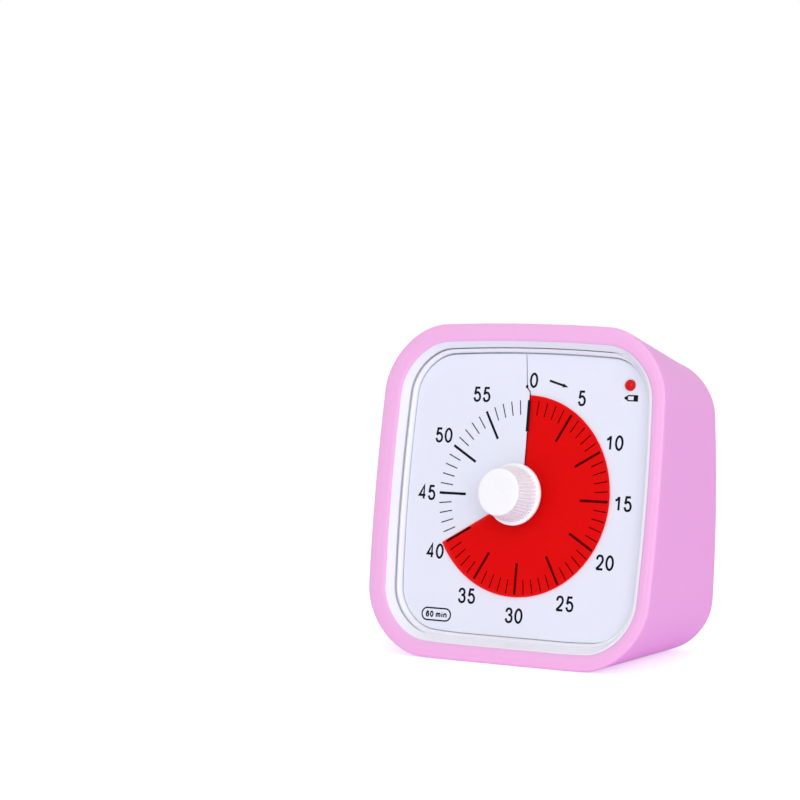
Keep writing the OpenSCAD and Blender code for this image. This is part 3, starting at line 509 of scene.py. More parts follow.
class DialSettings(bpy.types.PropertyGroup):
    sheet: colour_setting("Dial sheet", "Colour of the printed sheet", (0.79, 0.825, 0.925))
    ink: colour_setting("Ink", "Colour of the print", (0.006, 0.006, 0.012))
    ink_thick: length_setting("Ink thickness", "How far the print stands out of the sheet", 0.02)
    tick_outer: length_setting("Tick outer radius", "Radius at which the ticks end", 25.7)
    tick_inner: length_setting("Long tick radius", "Radius at which a long tick starts", 17.4)
    tick_short: length_setting("Short tick radius", "Radius at which a short tick starts", 21.85)
    tick_wide: length_setting("Long tick width", "Width of a long tick", 0.7)
    tick_thin: length_setting("Short tick width", "Width of a short tick", 0.29)
    digit_tall: length_setting("Digit height", "Height of a dial digit", 4.12)
    digit_wide: length_setting("Digit width", "Width of a dial digit", 2.52)
    digit_gap: length_setting("Digit gap", "Space between two digits", 0.4)
    digit_line: length_setting("Digit line", "Line width of a digit", 0.62)
    slit: length_setting("Slit", "Width of the dial's slit", 0.12)


class FilmSettings(bpy.types.PropertyGroup):
    tint: colour_setting(
        "Film", "Colour that one face of the film lets through", (0.998, 0.285, 0.28)
    )


class KnobSettings(bpy.types.PropertyGroup):
    colour: colour_setting("Knob", "Colour of the knob's face", (0.935, 0.938, 0.95))
    # The grip's cooler white is painted shade on the knob's flank.
    grip_shade_colour: colour_setting("Grip", "Colour of the knob's grooved flank", (0.91, 0.925, 0.97))
    grooves: IntProperty(
        name="Grooves", description="Number of grip grooves round the knob", default=44, min=3
    )
    groove_deep: length_setting("Groove depth", "Depth of a grip groove", 0.6)
    groove_wide: length_setting("Groove width", "Width of a grip groove", 0.58)


class StageSettings(bpy.types.PropertyGroup):
    floor: length_setting("Floor", "Half width of the floor", 1600.0)
    ambient: FloatProperty(
        name="Room light", description="Strength of the even light of the room", default=0.58
    )
    key: power_setting("Key light", "Power of the large lamp in front", 5.8)
    fill: power_setting("Fill light", "Power of the low lamp in front", 4.75)
    top: power_setting("Top light", "Power of the lamp overhead", 0.8)


# ---------- operators


class TIMER_OT_cover(bpy.types.Operator):
    """Make the silicone cover"""

    bl_idname = "timer.cover"
    bl_label = "Silicone cover"

    def execute(self, context):
        settings = context.scene.timer_cover
        steps = 9
        rings = [back_ring(*place) for place in quarter_arc(BACK_EDGE, steps)]
        rings += [mid_ring(part) for part in (0.25, 0.5, 0.75)]
        rings += self.rim(settings.crease, steps)
        rings += [shifted(front_ring(inset, rise), part) for inset, rise, part in LIP_CROWN]
        rings += self.lip(steps)
        rings += [front_ring(*place) for place in FRONT_INSIDE]
        rings += [back_ring(*place) for place in BACK_INSIDE]
        cover = band("silicone_sleeve", rings, crease=12.0)
        colours = tuple(settings.colour), tuple(settings.sheen_lip_colour)
        finish = soft_silicone(*colours, settings.grain / MM)
        finish_piece(cover, "timer_body", finish, ["silicone_cover"])
        return {"FINISHED"}

    def rim(self, crease, steps):
        """The front edge, from the side up to the lip's crown."""
        start, wide, low, crown = 0.1, 1.1, 0.6, 1.0
        flat = math.sqrt(1 - crease**2)
        rings = [front_ring(0.0, 0.0)]
        for step in range(steps + 1):
            out = 1 - step / steps
            rise = (math.sqrt(1 - (crease * out) ** 2) - flat) / (1 - flat)
            rings.append(front_ring(start + wide * (1 - out), low + (crown - low) * rise))
        return rings

    def lip(self, steps):
        """The lip's rounded edge, which turns in towards the bezel."""
        reach, wide, crown, deep = 4.4, 1.2, 1.06, 0.6
        rings = []
        for step in range(steps + 1):
            turn = math.pi / 2 * step / steps
            inset, rise = reach - wide * (1 - math.sin(turn)), crown - deep * (1 - math.cos(turn))
            rings.append(shifted(front_ring(inset, rise)))
        return rings


def soft_silicone(colour, sheen_lip_colour, grain):
    """Satin silicone: a fine grain, a cloudy gloss and a front lip painted paler, a painted sheen.
    """
    kit = Finish("soft_silicone")
    lip_rise = 0.55
    # Everything in front of this depth takes the paler lip colour: painted sheen.
    front = kit.outward(kit.place) > ARBOR.dot(OUT) + (FRONT["depth"] + lip_rise) * MM
    cloud = kit.noise(9.0, detail=3.0)
    grit = kit.noise(grain, rough=0.6)
    side = kit.tint(cloud, shift(colour, -0.012), shift(colour, 0.012))
    return kit.close(kit.surface(
        base_color=kit.tint(front, side, sheen_lip_colour),
        roughness=0.45 + 0.06 * cloud + 0.05 * grit, normal=kit.bump(grit, 0.006),
        subsurface_weight=0.08, subsurface_scale=0.002, specular_ior_level=0.25,
    ))


class TIMER_OT_case(bpy.types.Operator):
    """Make the bezel's skin and the ring round the dial, and finish the case"""

    bl_idname = "timer.case"
    bl_label = "Case and bezel"

    def execute(self, context):
        settings = context.scene.timer_case
        colour = tuple(settings.colour)
        proud = settings.proud / MM
        satin = moulded("satin_case", colour, rough=0.36, grain=0.12, depth=0.003, change=0.012)
        foot = [(1.0, 1.74), (0.9, 1.62), (0.5, 1.56)]
        slope = [*SLOPE_FRONT, *((SLOPE_FOOT + proud * k, z) for k, z in foot), *SLOPE_BACK]
        skin = band("bezel_slope", section_rings(slope, SLOPE_ASIDE))
        finish_piece(skin, "timer_body", satin)
        rings = section_rings(RING_OUTSIDE, RING_OUTSIDE_ASIDE)
        rings += section_rings(RING_INSIDE, RING_INSIDE_ASIDE)
        finish_piece(band("dial_frame", rings), "timer_body", satin, ["dial_ring"])
        sparked = moulded("sparked_case", colour, rough=0.5, grain=0.35, depth=0.02, change=0.015)
        for node in ("front_case", "disc_hub"):
            dress(node, satin)
        for node in ("rear_case", "battery_door"):
            dress(node, sparked)
        return {"FINISHED"}


class TIMER_OT_dial(bpy.types.Operator):
    """Make the dial sheet with its slit and its print"""

    bl_idname = "timer.dial"
    bl_label = "Dial and print"

    def execute(self, context):
        settings = context.scene.timer_dial
        dial = self.sheet(settings.slit)
        finish = printed_sheet(tuple(settings.sheet))
        finish_piece(dial, "timer_body", finish, ["dial_plate"])
        ink = moulded(
            "dial_ink", tuple(settings.ink), rough=0.5, grain=0.1, depth=0.002, change=0.25,
            specular_ior_level=0.06,
        )
        for name, marks in dial_print(settings).items():
            piece = print_piece(name, marks, settings.ink_thick / MM)
            finish_piece(piece, "timer_body", ink)
        return {"FINISHED"}

    def sheet(self, slit):
        """The dial sheet, wound from one edge of its slit round to the other."""
        steps, outer, slit_end = 288, 5, 40
        rim = shifted(face_ring(SHEET_INSET, 0.0), 1.0, SHEET_ASIDE)
        last = SHEET_RADII[-1]
        top = []
        for step in range(steps + 1):
            part = step / steps
            edge = edge_radius(rim, slit_turn(slit_end) + 360 * part)
            radii = [last + (edge - last) * k / outer for k in range(1, outer + 1)]
            for radius in [*SHEET_RADII, *radii]:
                gap = math.degrees(between(SLIT_SHARES, radius) * slit / MM / 2 / radius)
                turn = gap + part * (360 - 2 * gap)
                x, y = polar(radius, turn + slit_turn(radius))
                top.append((x, y, sheet_height(radius, turn)))
        dial = slab("dial_sheet", top, len(SHEET_RADII) + outer, steps + 1, SHEET_THICK)
        cut_round_hole(dial, LIGHT_SPOT, LIGHT_HOLE)
        return dial


def slab(name, top, count, rows, thick):
    """A sheet from rows of top points, closed below and round its edge."""
    total = len(top)
    points = top + [(x, y, z - thick) for x, y, z in top]
    upper = loop_faces(rows, count, False, False)
    faces = upper + [tuple(total + k for k in reversed(face)) for face in upper]
    border = [row * count for row in range(rows)]
    border += [(rows - 1) * count + step for step in range(1, count)]
    border += [row * count + count - 1 for row in range(rows - 2, -1, -1)]
    border += [step for step in range(count - 2, 0, -1)]
    for here, ahead in zip(border, border[1:] + border[:1]):
        faces.append((here, ahead, total + ahead, total + here))
    return solid(name, points, faces)


def cut_round_hole(piece, spot, radius):
    """Cuts a round hole through a sheet along the dial's outward axis."""
    steps, reach = 48, 3
    ring = [polar(radius, 360 * step / steps) for step in range(steps)]
    points = [(spot[0] + x, spot[1] + y, z) for z in (-reach, reach) for x, y in ring]
    faces = loop_faces(2, steps, False, True)
    faces += [tuple(range(steps)), tuple(range(2 * steps - 1, steps - 1, -1))]
    cutter = solid("hole_cutter", points, faces)
    cut = piece.modifiers.new("hole", "BOOLEAN")
    cut.object, cut.operation, cut.solver = cutter, "DIFFERENCE", "EXACT"
    depsgraph = bpy.context.evaluated_depsgraph_get()
    mesh = bpy.data.meshes.new_from_object(piece.evaluated_get(depsgraph))
    piece.modifiers.clear()
    piece.data = mesh
    bpy.data.objects.remove(cutter)
    smooth_mesh(mesh, 35.0)


def printed_sheet(colour):
    """Satin printed sheet: a faint cloud of tone and a very fine tooth."""
    kit = Finish("printed_sheet")
    cloud = kit.noise(24.0)
    tooth = kit.noise(0.12, rough=0.6)
    base = kit.tint(cloud, shift(colour, -0.018), shift(colour, 0.018))
    gloss = 0.42 + 0.08 * tooth
    return kit.close(kit.surface(base_color=base, roughness=gloss, normal=kit.bump(tooth, 0.002)))


# Digits as lines in a box of 100 by 100; "line" keeps its corners, the others are smooth.
GLYPH_BOX = 100
GLYPHS = {
    "0": [
        ("loop", [(50, 100), (86, 84), (100, 50), (86, 16), (50, 0), (14, 16), (0, 50), (14, 84)]),
    ],
    "1": [("line", [(66, 0), (66, 100)]), ("curve", [(66, 97), (50, 85), (30, 76), (10, 71)])],
    "2": [
        ("curve", [(5, 70), (11, 87), (29, 98), (53, 100), (79, 94), (93, 78), (91, 62), (76, 45),
                   (50, 27), (20, 11), (2, 0)]),
        ("line", [(2, 0), (100, 0)]),
    ],
    "3": [
        ("curve", [(5, 74), (14, 91), (34, 99.5), (58, 99.5), (80, 91), (88, 76), (80, 62),
                   (62, 55), (40, 54)]),
        ("curve", [(42, 54), (68, 53), (90, 43), (97, 27), (88, 10), (66, 1), (40, 0), (15, 8),
                   (3, 26)]),
    ],
    "4": [("line", [(74, 0), (74, 100), (2, 27), (100, 27)])],
    "5": [
        ("line", [(90, 100), (24, 100), (11, 49)]),
        ("curve", [(11, 49), (28, 61), (52, 64.5), (79, 57), (97, 36), (92, 15), (74, 3), (48, 0),
                   (22, 5), (3, 26)]),
    ],
    "6": [
        ("curve", [(93, 76), (80, 94), (56, 100), (28, 91), (8, 66), (3, 38), (12, 12), (34, 0),
                   (60, 0), (84, 9), (97, 31), (86, 53), (62, 62), (36, 58), (14, 46), (5, 33)]),
    ],
    "m": [
        ("line", [(0, 0), (0, 70)]),
        ("curve", [(0, 52), (14, 68), (32, 70), (47, 60), (50, 42), (50, 0)]),
        ("curve", [(50, 50), (64, 68), (82, 70), (97, 60), (100, 42), (100, 0)]),
    ],
    "i": [("line", [(50, 0), (50, 70)]), ("line", [(50, 92), (50, 102)])],
    "n": [
        ("line", [(0, 0), (0, 70)]),
        ("curve", [(0, 46), (26, 67), (62, 70), (93, 58), (100, 38), (100, 0)]),
    ],
}

# Middles of the dial's numbers, from 0 on in steps of five minutes.
NUMBER_SPOTS = (
    (0.56, 31.18), (15.48, 26.86), (26.2, 15.58), (30.12, -0.02), (26.2, -15.48), (15.33, -26.84),
    (0.24, -31.01), (-14.73, -26.8), (-25.77, -15.52), (-29.81, 0.05), (-25.9, 15.61),
    (-14.89, 26.94),
)


def curve_through(knots, closed=False, steps=7):
    """A smooth path through points."""
    count = len(knots)
    path = []
    for here in range(count if closed else count - 1):
        if closed:
            quad = [knots[(here + k) % count] for k in (-1, 0, 1, 2)]
        else:
            quad = [knots[min(max(here + k, 0), count - 1)] for k in (-1, 0, 1, 2)]
        for step in range(steps):
            path.append(tuple(spline(*values, step / steps) for values in zip(*quad)))
    return path if closed else path + [knots[-1]]


def spline(a, b, c, d, t):
    """A value between b and c on the smooth curve through four values."""
    bend, twist = 2 * a - 5 * b + 4 * c - d, 3 * b - a - 3 * c + d
    return 0.5 * (2 * b + (c - a) * t + bend * t * t + twist * t**3)


def stroke(path, width, closed=False):
    """A line of even width along a path, as pairs of edge points."""
    count, sharpest = len(path), 0.45
    pairs = []
    for here, (x, y) in enumerate(path):
        ways = []
        for start, end in ((here - 1, here), (here, here + 1)):
            if closed or (start >= 0 and end < count):
                (x0, y0), (x1, y1) = path[start % count], path[end % count]
                length = math.hypot(x1 - x0, y1 - y0)
                ways.append(((x1 - x0) / length, (y1 - y0) / length))
        wx, wy = (sum(way[k] for way in ways) for k in (0, 1))
        length = math.hypot(wx, wy)
        wx, wy = wx / length, wy / length
        reach = width / 2 / max(sharpest, wx * ways[0][0] + wy * ways[0][1])
        pairs.append(((x - wy * reach, y + wx * reach), (x + wy * reach, y - wx * reach)))
    return {"pairs": pairs, "closed": closed}


def text_strokes(text, centre, tall, wide, gap, line, shares=None):
    """Strokes of a row of characters round a centre; shares widen or narrow some of them."""
    widths = [wide * (shares or {}).get(sign, 1.0) for sign in text]
    total = sum(widths) + gap * (len(text) - 1)
    left = centre[0] - total / 2
    low = centre[1] - tall / 2 + line / 2
    strokes = []
    for sign, width in zip(text, widths):
        for kind, knots in GLYPHS.get(sign, []):
            placed = []
            for x, y in knots:
                x, y = x / GLYPH_BOX, y / GLYPH_BOX
                placed.append((left + line / 2 + x * (width - line), low + y * (tall - line)))
            if kind != "line":
                placed = curve_through(placed, kind == "loop")
            strokes.append(stroke(placed, line, kind == "loop"))
        left += width + gap
    return strokes


def printed(x, y, spot=(0.0, 0.0)):
    """A point of the print, which sits a little off the arbor, in the dial's axes."""
    return x + spot[0] + PRINT_SHIFT[0], y + spot[1] + PRINT_SHIFT[1]


def dial_print(settings):
    """Every printed mark of the dial, by piece."""
    return {
        "tick_marks": [tick(settings, minute) for minute in range(60)],
        "dial_numbers": [mark for step in range(12) for mark in number(settings, step)],
        "turn_arrow": turn_arrow(),
        "battery_sign": battery_sign(),
        "minutes_badge": minutes_badge(),
        "slit_dot": slit_dot(),
    }


def tick(settings, minute):
    """The tick of a minute; the one at 0 is a tongue over the slit."""
    inner, width = settings.tick_short, settings.tick_thin / MM
    if minute % 5 == 0:
        inner, width = settings.tick_inner, settings.tick_wide / MM
    radii = (inner / MM, settings.tick_outer / MM)
    ends = [printed(*polar(radius, minute * 6.0), TICK_ASIDE) for radius in radii]
    if minute:
        return stroke(ends, width)
    over_slit = [polar(math.hypot(x, y), slit_turn(math.hypot(x, y))) for x, y in ends]
    return {**stroke(over_slit, width), "tongue": True}


def number(settings, step):
    """The strokes of one of the dial's twelve numbers."""
    sizes = {key: getattr(settings, "digit_" + key) / MM for key in ("tall", "wide", "gap", "line")}
    return text_strokes(str(step * 5), printed(*NUMBER_SPOTS[step]), **sizes)


def turn_arrow():
    """The arrow right of the 0, which shows the way round the dial."""
    tail, tip = Vector((5.36, 31.24)), Vector((11.15, 29.62))
    head_long, head_half, line = 1.75, 0.54, 0.6
    along = (tip - tail).normalized()
    base = tip - along * head_long
    across = along.orthogonal() * head_half
    head = [printed(*(base + across)), printed(*(base - across)), printed(*tip)]
    return [stroke([printed(*tail), printed(*base)], line), {"flat": head}]


def battery_sign():
    """The outline of a cell that has run low, under the warning light."""
    spot, line = (30.1, 27.33), 0.36
    shell = [
        (-1.1, -0.48), (-0.85, -0.66), (1.86, -0.66), (1.86, 0.66), (-0.85, 0.66), (-1.1, 0.48),
    ]
    nose = [
        (-1.98, -0.16), (-1.75, -0.38), (-1.05, -0.52), (-1.05, 0.52), (-1.75, 0.38), (-1.98, 0.16),
    ]
    charge = [(0.72, -0.7), (1.95, -0.7), (1.95, 0.7), (0.72, 0.7)]
    marks = [stroke([printed(x, y, spot) for x, y in shell], line, True)]
    return marks + [{"flat": [printed(x, y, spot) for x, y in patch]} for patch in (nose, charge)]


def minutes_badge():
    """The pill at the lower left with the longest time that the dial shows."""
    pill, half_w, half_h, line, steps = (-23.81, -32.34), 4.5, 1.62, 0.4, 14
    rim = []
    for side, start in ((1, -90), (-1, 90)):
        turns = [math.radians(start + 180 * step / steps) for step in range(steps + 1)]
        rim += [on_circle((side * (half_w - half_h), 0.0), half_h, turn) for turn in turns]
    text = {"tall": 1.7, "wide": 1.12, "gap": 0.22, "line": 0.38}
    shares = {"m": 1.35, " ": 0.25, "i": 0.35}
    marks = [stroke([printed(x, y, pill) for x, y in rim], line, True)]
    return marks + text_strokes("60 min", printed(*pill), shares=shares, **text)


def slit_dot():
    """The small oval on the slit, left of the 0."""
    (mid_x, mid_y), half_w, half_h, steps = (-1.34, 29.45), 0.3, 0.45, 20
    turns = [math.tau * step / steps for step in range(steps)]
    oval = [(mid_x + half_w * math.cos(turn), mid_y + half_h * math.sin(turn)) for turn in turns]
    return [{"flat": [printed(x, y) for x, y in oval]}]


def print_piece(name, marks, thick):
    """Ink lines and patches that lie on the dial's helix."""
    points, faces = [], []
    for mark in marks:
        made, sides = ink_patch(mark, thick) if "flat" in mark else ink_line(mark, thick)
        faces += [tuple(len(points) + k for k in side) for side in sides]
        points += made
    return solid(name, points, faces, crease=30.0)


def ink_patch(mark, thick, sunk=0.02):
    """Points and faces of a patch of ink inside an outline."""
    shape = mark["flat"]
    count = len(shape)
    points = [(x, y, dial_height(x, y) + lift) for lift in (-sunk, thick) for x, y in shape]
    faces = [tuple(range(count - 1, -1, -1)), tuple(range(count, 2 * count))]
    for here in range(count):
        ahead = (here + 1) % count
        faces.append((here, ahead, count + ahead, count + here))
    return points, faces


def ink_line(mark, thick, sunk=0.02):
    """Points and faces of a line of ink; a tongue keeps its left edge's height over the slit."""
    tongue = mark.get("tongue", False)
    sunk = SHEET_THICK if tongue else sunk
    points = []
    for left, right in mark["pairs"]:
        low_left = dial_height(*left)
        low_right = low_left if tongue else dial_height(*right)
        points += [(*left, low_left + thick), (*right, low_right + thick)]
        points += [(*right, low_right - sunk), (*left, low_left - sunk)]
    rows = len(mark["pairs"])
    faces = loop_faces(rows, 4, mark["closed"], True)
    if not mark["closed"]:
        faces += [tuple(range(4)), tuple(range(4 * rows - 1, 4 * rows - 5, -1))]
    return points, faces


class TIMER_OT_film(bpy.types.Operator):
    """Make the red film disc"""

    bl_idname = "timer.film"
    bl_label = "Red film"

    def execute(self, context):
        settings = context.scene.timer_film
        steps = 300
        start, end = FILM_ENDS
        top = []
        for step in range(steps + 1):
            turned = start + (end - start) * step / steps
            height = FILM_LIFT + WIND * turned / 360
            for radius in FILM_RADII:
                x, y = polar(radius, turned + FILM_REST)
                out = (radius - FILM_RADII[0]) / FILM_RADIUS
                top.append((x + FILM_ASIDE[0] * out, y + FILM_ASIDE[1] * out, height))
        film = slab("film_disc", top, len(FILM_RADII), steps + 1, FILM_THICK)
        finish_piece(film, "film", clear_film(tuple(settings.tint)), ["red_disc"])
        return {"FINISHED"}


def clear_film(tint):
    """Coloured film: it lets its own colour through and shines a little."""
    kit = Finish("red_film")
    cloud = kit.noise(14.0)
    ripple = kit.noise(3.0, detail=1.0)
    through = kit.add("BsdfTransparent", inputs={"Color": (*tint, 1)})
    shine = kit.surface(
        base_color=kit.tint(cloud, (0.76, 0.012, 0.012), (0.82, 0.014, 0.014)),
        roughness=0.34 + 0.08 * cloud, normal=kit.bump(ripple, 0.004), specular_ior_level=0.15,
    )
    share = 0.05 + 0.02 * cloud
    return kit.close(kit.add("MixShader", inputs={"Fac": share, 1: through, 2: shine}))


class TIMER_OT_knob(bpy.types.Operator):
    """Make the grooved knob"""

    bl_idname = "timer.knob"
    bl_label = "Knob"

    def execute(self, context):
        settings = context.scene.timer_knob
        grip_radius, per_groove, roundness = 6.9, 10, 0.6
        deep = settings.groove_deep / MM
        share = settings.groove_wide / MM / (math.tau * grip_radius / settings.grooves)
        profile = self.profile()
        count = settings.grooves * per_groove
        points = []
        for radius, height, grooved in profile:
            for step in range(count):
                phase = (step / per_groove) % 1.0
                bite = 0.0
                if grooved and phase < share:
                    bite = deep * math.sin(math.pi * phase / share) ** roundness
                x, y = polar(radius - bite, 360 * step / count)
                points.append((x, y, height))
        last = (len(profile) - 1) * count
        faces = loop_faces(len(profile), count, False, True)
        faces += [tuple(range(count)), tuple(range(last, last + count))]
        knob = solid("grip_knob", points, faces, crease=40.0)
        finish = gloss_knob(tuple(settings.colour), tuple(settings.grip_shade_colour))
        finish_piece(knob, "dial_drive", finish, ["knob"])
        return {"FINISHED"}

    def profile(self):
        """(radius, height, grooved) stops from the bore, round the flange and up to the face."""
        low, under, over, top, steps = 1.325, 3.6, 4.6, 12.2, 8
        foot, crown, edge = 7.42, 6.25, 0.55
        start, end = over + 0.5, top - edge - 0.15
        stops = [
            (1.6, low, 0), (6.0, low, 0), (6.0, under - 0.15, 0), (6.15, under, 0),
            (7.98, under, 0), (8.13, under + 0.07, 0), (8.2, under + 0.24, 0),
            (8.2, over - 0.28, 0), (8.11, over - 0.08, 0), (7.96, over - 0.01, 0),
            (7.62, over - 0.02, 0), (foot + 0.02, over + 0.06, 0), (foot, over + 0.34, 0),
            (foot - 0.01, over + 0.4, 1),
        ]
        for step in range(steps + 1):
            part = step / steps
            stops.append((foot + (crown - foot) * part, start + (end - start) * part, 1))
        stops.append((crown + 0.01, end + 0.12, 0))
        for step in range(steps + 1):
            turn = math.pi / 2 * step / steps
            radius = crown - 1.5 * edge * (1 - math.cos(turn))
            stops.append((radius, top - edge * (1 - math.sin(turn)), 0))
        return stops + [(3.6, top, 0), (1.2, top, 0)]


def gloss_knob(colour, grip_shade_colour):
    """Glossy moulding whose flank is painted a cooler white than its face, a painted cool shade."""
    kit = Finish("gloss_knob")
    # Outward-facing parts keep the face's colour; the flank gets the painted cool shade.
    facing = kit.outward(kit.place.beside("Normal")) > 0.75
    cloud = kit.noise(9.0, detail=3.0)
    grit = kit.noise(0.4, rough=0.6)
    face = kit.tint(cloud, shift(colour, -0.01), shift(colour, 0.01))
    return kit.close(kit.surface(
        base_color=kit.tint(facing, grip_shade_colour, face), roughness=0.25 + 0.06 * cloud,
        normal=kit.bump(grit, 0.002), specular_ior_level=0.3,
    ))


class TIMER_OT_works(bpy.types.Operator):
    """Finish the movement, the electronics, the battery and the small parts"""

    bl_idname = "timer.works"
    bl_label = "Works"

    def execute(self, context):
        steel = drawn_metal("drawn_steel", (0.62, 0.63, 0.65))
        screw = drawn_metal("screw_steel", (0.58, 0.58, 0.60), rough=0.26, stretch=(1, 1, 1))
        brass = drawn_metal("turned_brass", (0.72, 0.52, 0.20), rough=0.28, stretch=(1, 0.1, 1))
        blued = drawn_metal("blued_spring", (0.13, 0.13, 0.15), rough=0.34)
        black = moulded(
            "black_moulding", (0.022, 0.022, 0.025), rough=0.48, grain=0.3, depth=0.014, change=0.1
        )
        acetal = moulded(
            "gear_acetal", (0.76, 0.72, 0.60), rough=0.34, grain=0.2, depth=0.003,
            subsurface_weight=0.1, subsurface_scale=0.001,
        )
        sleeve = moulded("capacitor_sleeve", (0.02, 0.04, 0.17), rough=0.22, grain=0.6, depth=0.004)
        finishes = {
            steel: (
                "arbor", "idler_pin", "battery_spring", "battery_plate", "volume_switch", "motor",
            ),
            screw: ("movement_screws", "motor_screws", "case_screws", "board_screws"),
            brass: ("clutch_washer", "centre_bush", "motor_pinion"),
            blued: ("arbor_clip",),
            black: ("movement_front", "movement_back", "control_chip", "volume_slider", "buzzer"),
            acetal: ("centre_wheel", "idler_wheel"),
            sleeve: ("capacitor",),
            solder_board(): ("control_board",),
            battery_wrap(): ("battery",),
            insulation("red_insulation", (0.55, 0.015, 0.012)): ("battery_leads", "light_leads"),
            insulation("black_insulation", (0.02, 0.02, 0.02)): ("buzzer_leads",),
            insulation("blue_insulation", (0.015, 0.06, 0.36)): ("motor_leads",),
            red_lens(): ("warning_light",),
        }
        for finish, nodes in finishes.items():
            for node in nodes:
                dress(node, finish)
        return {"FINISHED"}


def insulation(name, colour):
    """Soft insulation of a thin wire."""
    return moulded(name, colour, rough=0.42, grain=0.2, depth=0.005)


def red_lens():
    """Cast red epoxy of the warning light."""
    kit = Finish("red_lens")
    cloud = kit.noise(1.2)
    ripple = kit.noise(0.5, detail=1.0)
    return kit.close(kit.surface(
        base_color=kit.tint(cloud, (0.62, 0.003, 0.004), (0.74, 0.008, 0.008)),
        roughness=0.12 + 0.06 * cloud, normal=kit.bump(ripple, 0.003),
        coat_weight=0.04, coat_roughness=0.05, specular_ior_level=0.12,
    ))


def solder_board():
    """Green solder mask over fine copper runs."""
    kit = Finish("solder_board")
    bricks = {"Vector": kit.place, "Scale": 900.0, "Mortar Size": 0.03}
    weave = kit.add("TexBrick", {"offset": 0.5}, bricks, "Fac")
    cloud = kit.noise(5.0)
    runs = kit.noise(1.6, detail=0.0, stretch=(1, 1, 0.3)) > 0.56
    return kit.close(kit.surface(
        base_color=kit.tint(runs, (0.008, 0.085, 0.030), (0.030, 0.190, 0.070)),
        roughness=0.28 + 0.1 * cloud, normal=kit.bump(runs + 0.2 * weave, 0.02),
    ))


def battery_wrap():
    """Plain shrunk wrap with a lighter end."""
    kit = Finish("battery_wrap")
    side = kit.add("SeparateXYZ", inputs={"Vector": kit.place}, output="X")
    low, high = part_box("battery")
    dark_share = 0.72
    end = side > low.x + (high.x - low.x) * dark_share
    cloud = kit.noise(4.0)
    ripple = kit.noise(1.4, stretch=(0.2, 1, 1))
    return kit.close(kit.surface(
        base_color=kit.tint(end, (0.018, 0.12, 0.05), (0.62, 0.60, 0.55)),
        roughness=0.26 + 0.1 * cloud, normal=kit.bump(ripple, 0.01),
    ))


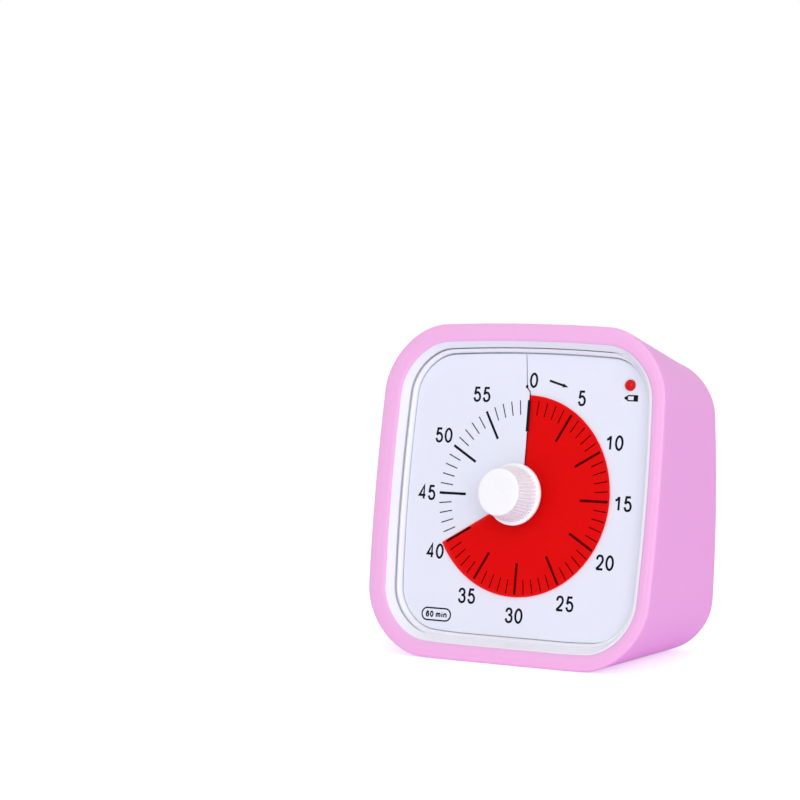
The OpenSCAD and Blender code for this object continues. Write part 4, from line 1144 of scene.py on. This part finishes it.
class TIMER_OT_stage(bpy.types.Operator):
    """Set the floor, the light and the camera"""

    bl_idname = "timer.stage"
    bl_label = "Stage"

    def execute(self, context):
        scene = context.scene
        settings = scene.timer_stage
        scene.view_settings.view_transform = "Standard"
        self.floor(settings.floor)
        self.room(scene, settings.ambient)
        self.lamp("key_lamp", (0.78, -1.0, 0.63), 1.4, settings.key)
        self.lamp("fill_lamp", (0.86, -1.15, 0.2), 0.9, settings.fill)
        self.lamp("top_lamp", (-0.1, 0.1, 1.2), 0.7, settings.top)
        scene.camera = self.camera()
        return {"FINISHED"}

    def floor(self, half):
        """White paper that glows white to the camera and glows a faint violet light up onto the
        timer, a painted bounce light.
        """
        kit = Finish("floor_paper")
        seen = kit.add("LightPath", output="Is Camera Ray")
        paper = kit.tint(kit.noise(60.0), (0.90, 0.89, 0.96), (0.92, 0.91, 0.98))
        diffuse = kit.add("BsdfDiffuse", inputs={"Color": paper})
        # The violet tone is a glow that stands in for light bouncing off the floor.
        tone = kit.tint(seen, (0.78, 0.62, 0.96), (1, 1, 1))
        upward_glow, shown = 0.14, 0.5
        strength = upward_glow + (shown - upward_glow) * seen
        glow = kit.add("Emission", inputs={"Color": tone, "Strength": strength})
        mesh = bpy.data.meshes.new("floor")
        corners = [(x * half, y * half, 0) for x, y in ((-1, -1), (1, -1), (1, 1), (-1, 1))]
        mesh.from_pydata(corners, [], [(0, 1, 2, 3)])
        mesh.materials.append(kit.close(kit.add("AddShader", inputs={0: diffuse, 1: glow})))
        new_object("floor", mesh)

    def room(self, scene, strength):
        """Even light, which the camera, gloss and clear pieces see as white."""
        world = bpy.data.worlds.new("white_room")
        kit = Nodes(world)
        rays = kit.add("LightPath", output="Is Camera Ray")
        shown = rays + rays.beside("Is Glossy Ray") + rays.beside("Is Transmission Ray") > 0.5
        level = strength + shown * (1.0 - strength)
        light = kit.add("Background", inputs={"Color": (1, 1, 1, 1), "Strength": level})
        kit.add("OutputWorld", inputs={"Surface": light})
        scene.world = world

    def lamp(self, name, place, size, power):
        """A round lamp that faces the timer's middle."""
        data = bpy.data.lights.new(name, "AREA")
        data.shape, data.size, data.energy = "DISK", size, power
        lamp = new_object(name, data)
        lamp.location = place
        aim = Vector(place) - Vector((0, 0, 0.045))
        lamp.rotation_euler = aim.to_track_quat("Z", "Y").to_euler()

    def camera(self):
        """The camera, whose place is given in the dial's axes."""
        yaw, pitch, roll = (math.radians(turn) for turn in (33.854, -4.018, 4.793))
        distance, scale, shift_x, shift_y = 749.7, 3.8005, 122.175, 97.875
        sensor, picture = 36.0, 800.0
        level = math.cos(pitch)
        back = Vector((math.sin(yaw) * level, -math.cos(yaw) * level, math.sin(pitch)))
        right = Vector((math.cos(yaw), math.sin(yaw), 0))
        up = back.cross(right)
        across = right * math.cos(roll) + up * math.sin(roll)
        along = up * math.cos(roll) - right * math.sin(roll)
        eye = back * distance - across * (shift_x / scale) + along * (shift_y / scale)

        def to_frame(vector):
            return RIGHT * vector.x - OUT * vector.y + UP * vector.z

        data = bpy.data.cameras.new("camera")
        data.sensor_width = sensor
        data.lens = sensor * scale * distance / picture
        data.clip_start, data.clip_end = 0.01, 20.0
        camera = new_object("camera", data)
        turn = Matrix([to_frame(way) for way in (across, along, back)]).transposed().to_4x4()
        place = seat(*PRINT_SHIFT, 0) + to_frame(eye) * MM
        camera.matrix_world = Matrix.Translation(place) @ turn
        return camera


# ---------- panel and start

GROUPS = {
    "timer_cover": CoverSettings, "timer_case": CaseSettings, "timer_dial": DialSettings,
    "timer_film": FilmSettings, "timer_knob": KnobSettings, "timer_stage": StageSettings,
}
OPERATORS = (
    TIMER_OT_cover, TIMER_OT_case, TIMER_OT_dial, TIMER_OT_film, TIMER_OT_knob, TIMER_OT_works,
    TIMER_OT_stage,
)


class TIMER_PT_pieces(bpy.types.Panel):
    """Lists the timer's pieces and their settings"""

    bl_label = "Countdown timer"
    bl_idname = "TIMER_PT_pieces"
    bl_space_type = "VIEW_3D"
    bl_region_type = "UI"
    bl_category = "Timer"

    def draw(self, context):
        for operator in OPERATORS:
            box = self.layout.box()
            box.operator(operator.bl_idname)
            group = "timer_" + operator.bl_idname.split(".")[1]
            for key in getattr(GROUPS.get(group), "__annotations__", {}):
                box.prop(getattr(context.scene, group), key)


CLASSES = (*GROUPS.values(), *OPERATORS, TIMER_PT_pieces)


def register():
    for kind in CLASSES:
        bpy.utils.register_class(kind)
    for name, group in GROUPS.items():
        setattr(bpy.types.Scene, name, PointerProperty(type=group))


def unregister():
    for name in GROUPS:
        delattr(bpy.types.Scene, name)
    for kind in reversed(CLASSES):
        bpy.utils.unregister_class(kind)


def main():
    register()
    for operator in OPERATORS:
        group, name = operator.bl_idname.split(".")
        getattr(getattr(bpy.ops, group), name)()


if __name__ == "__main__":
    main()
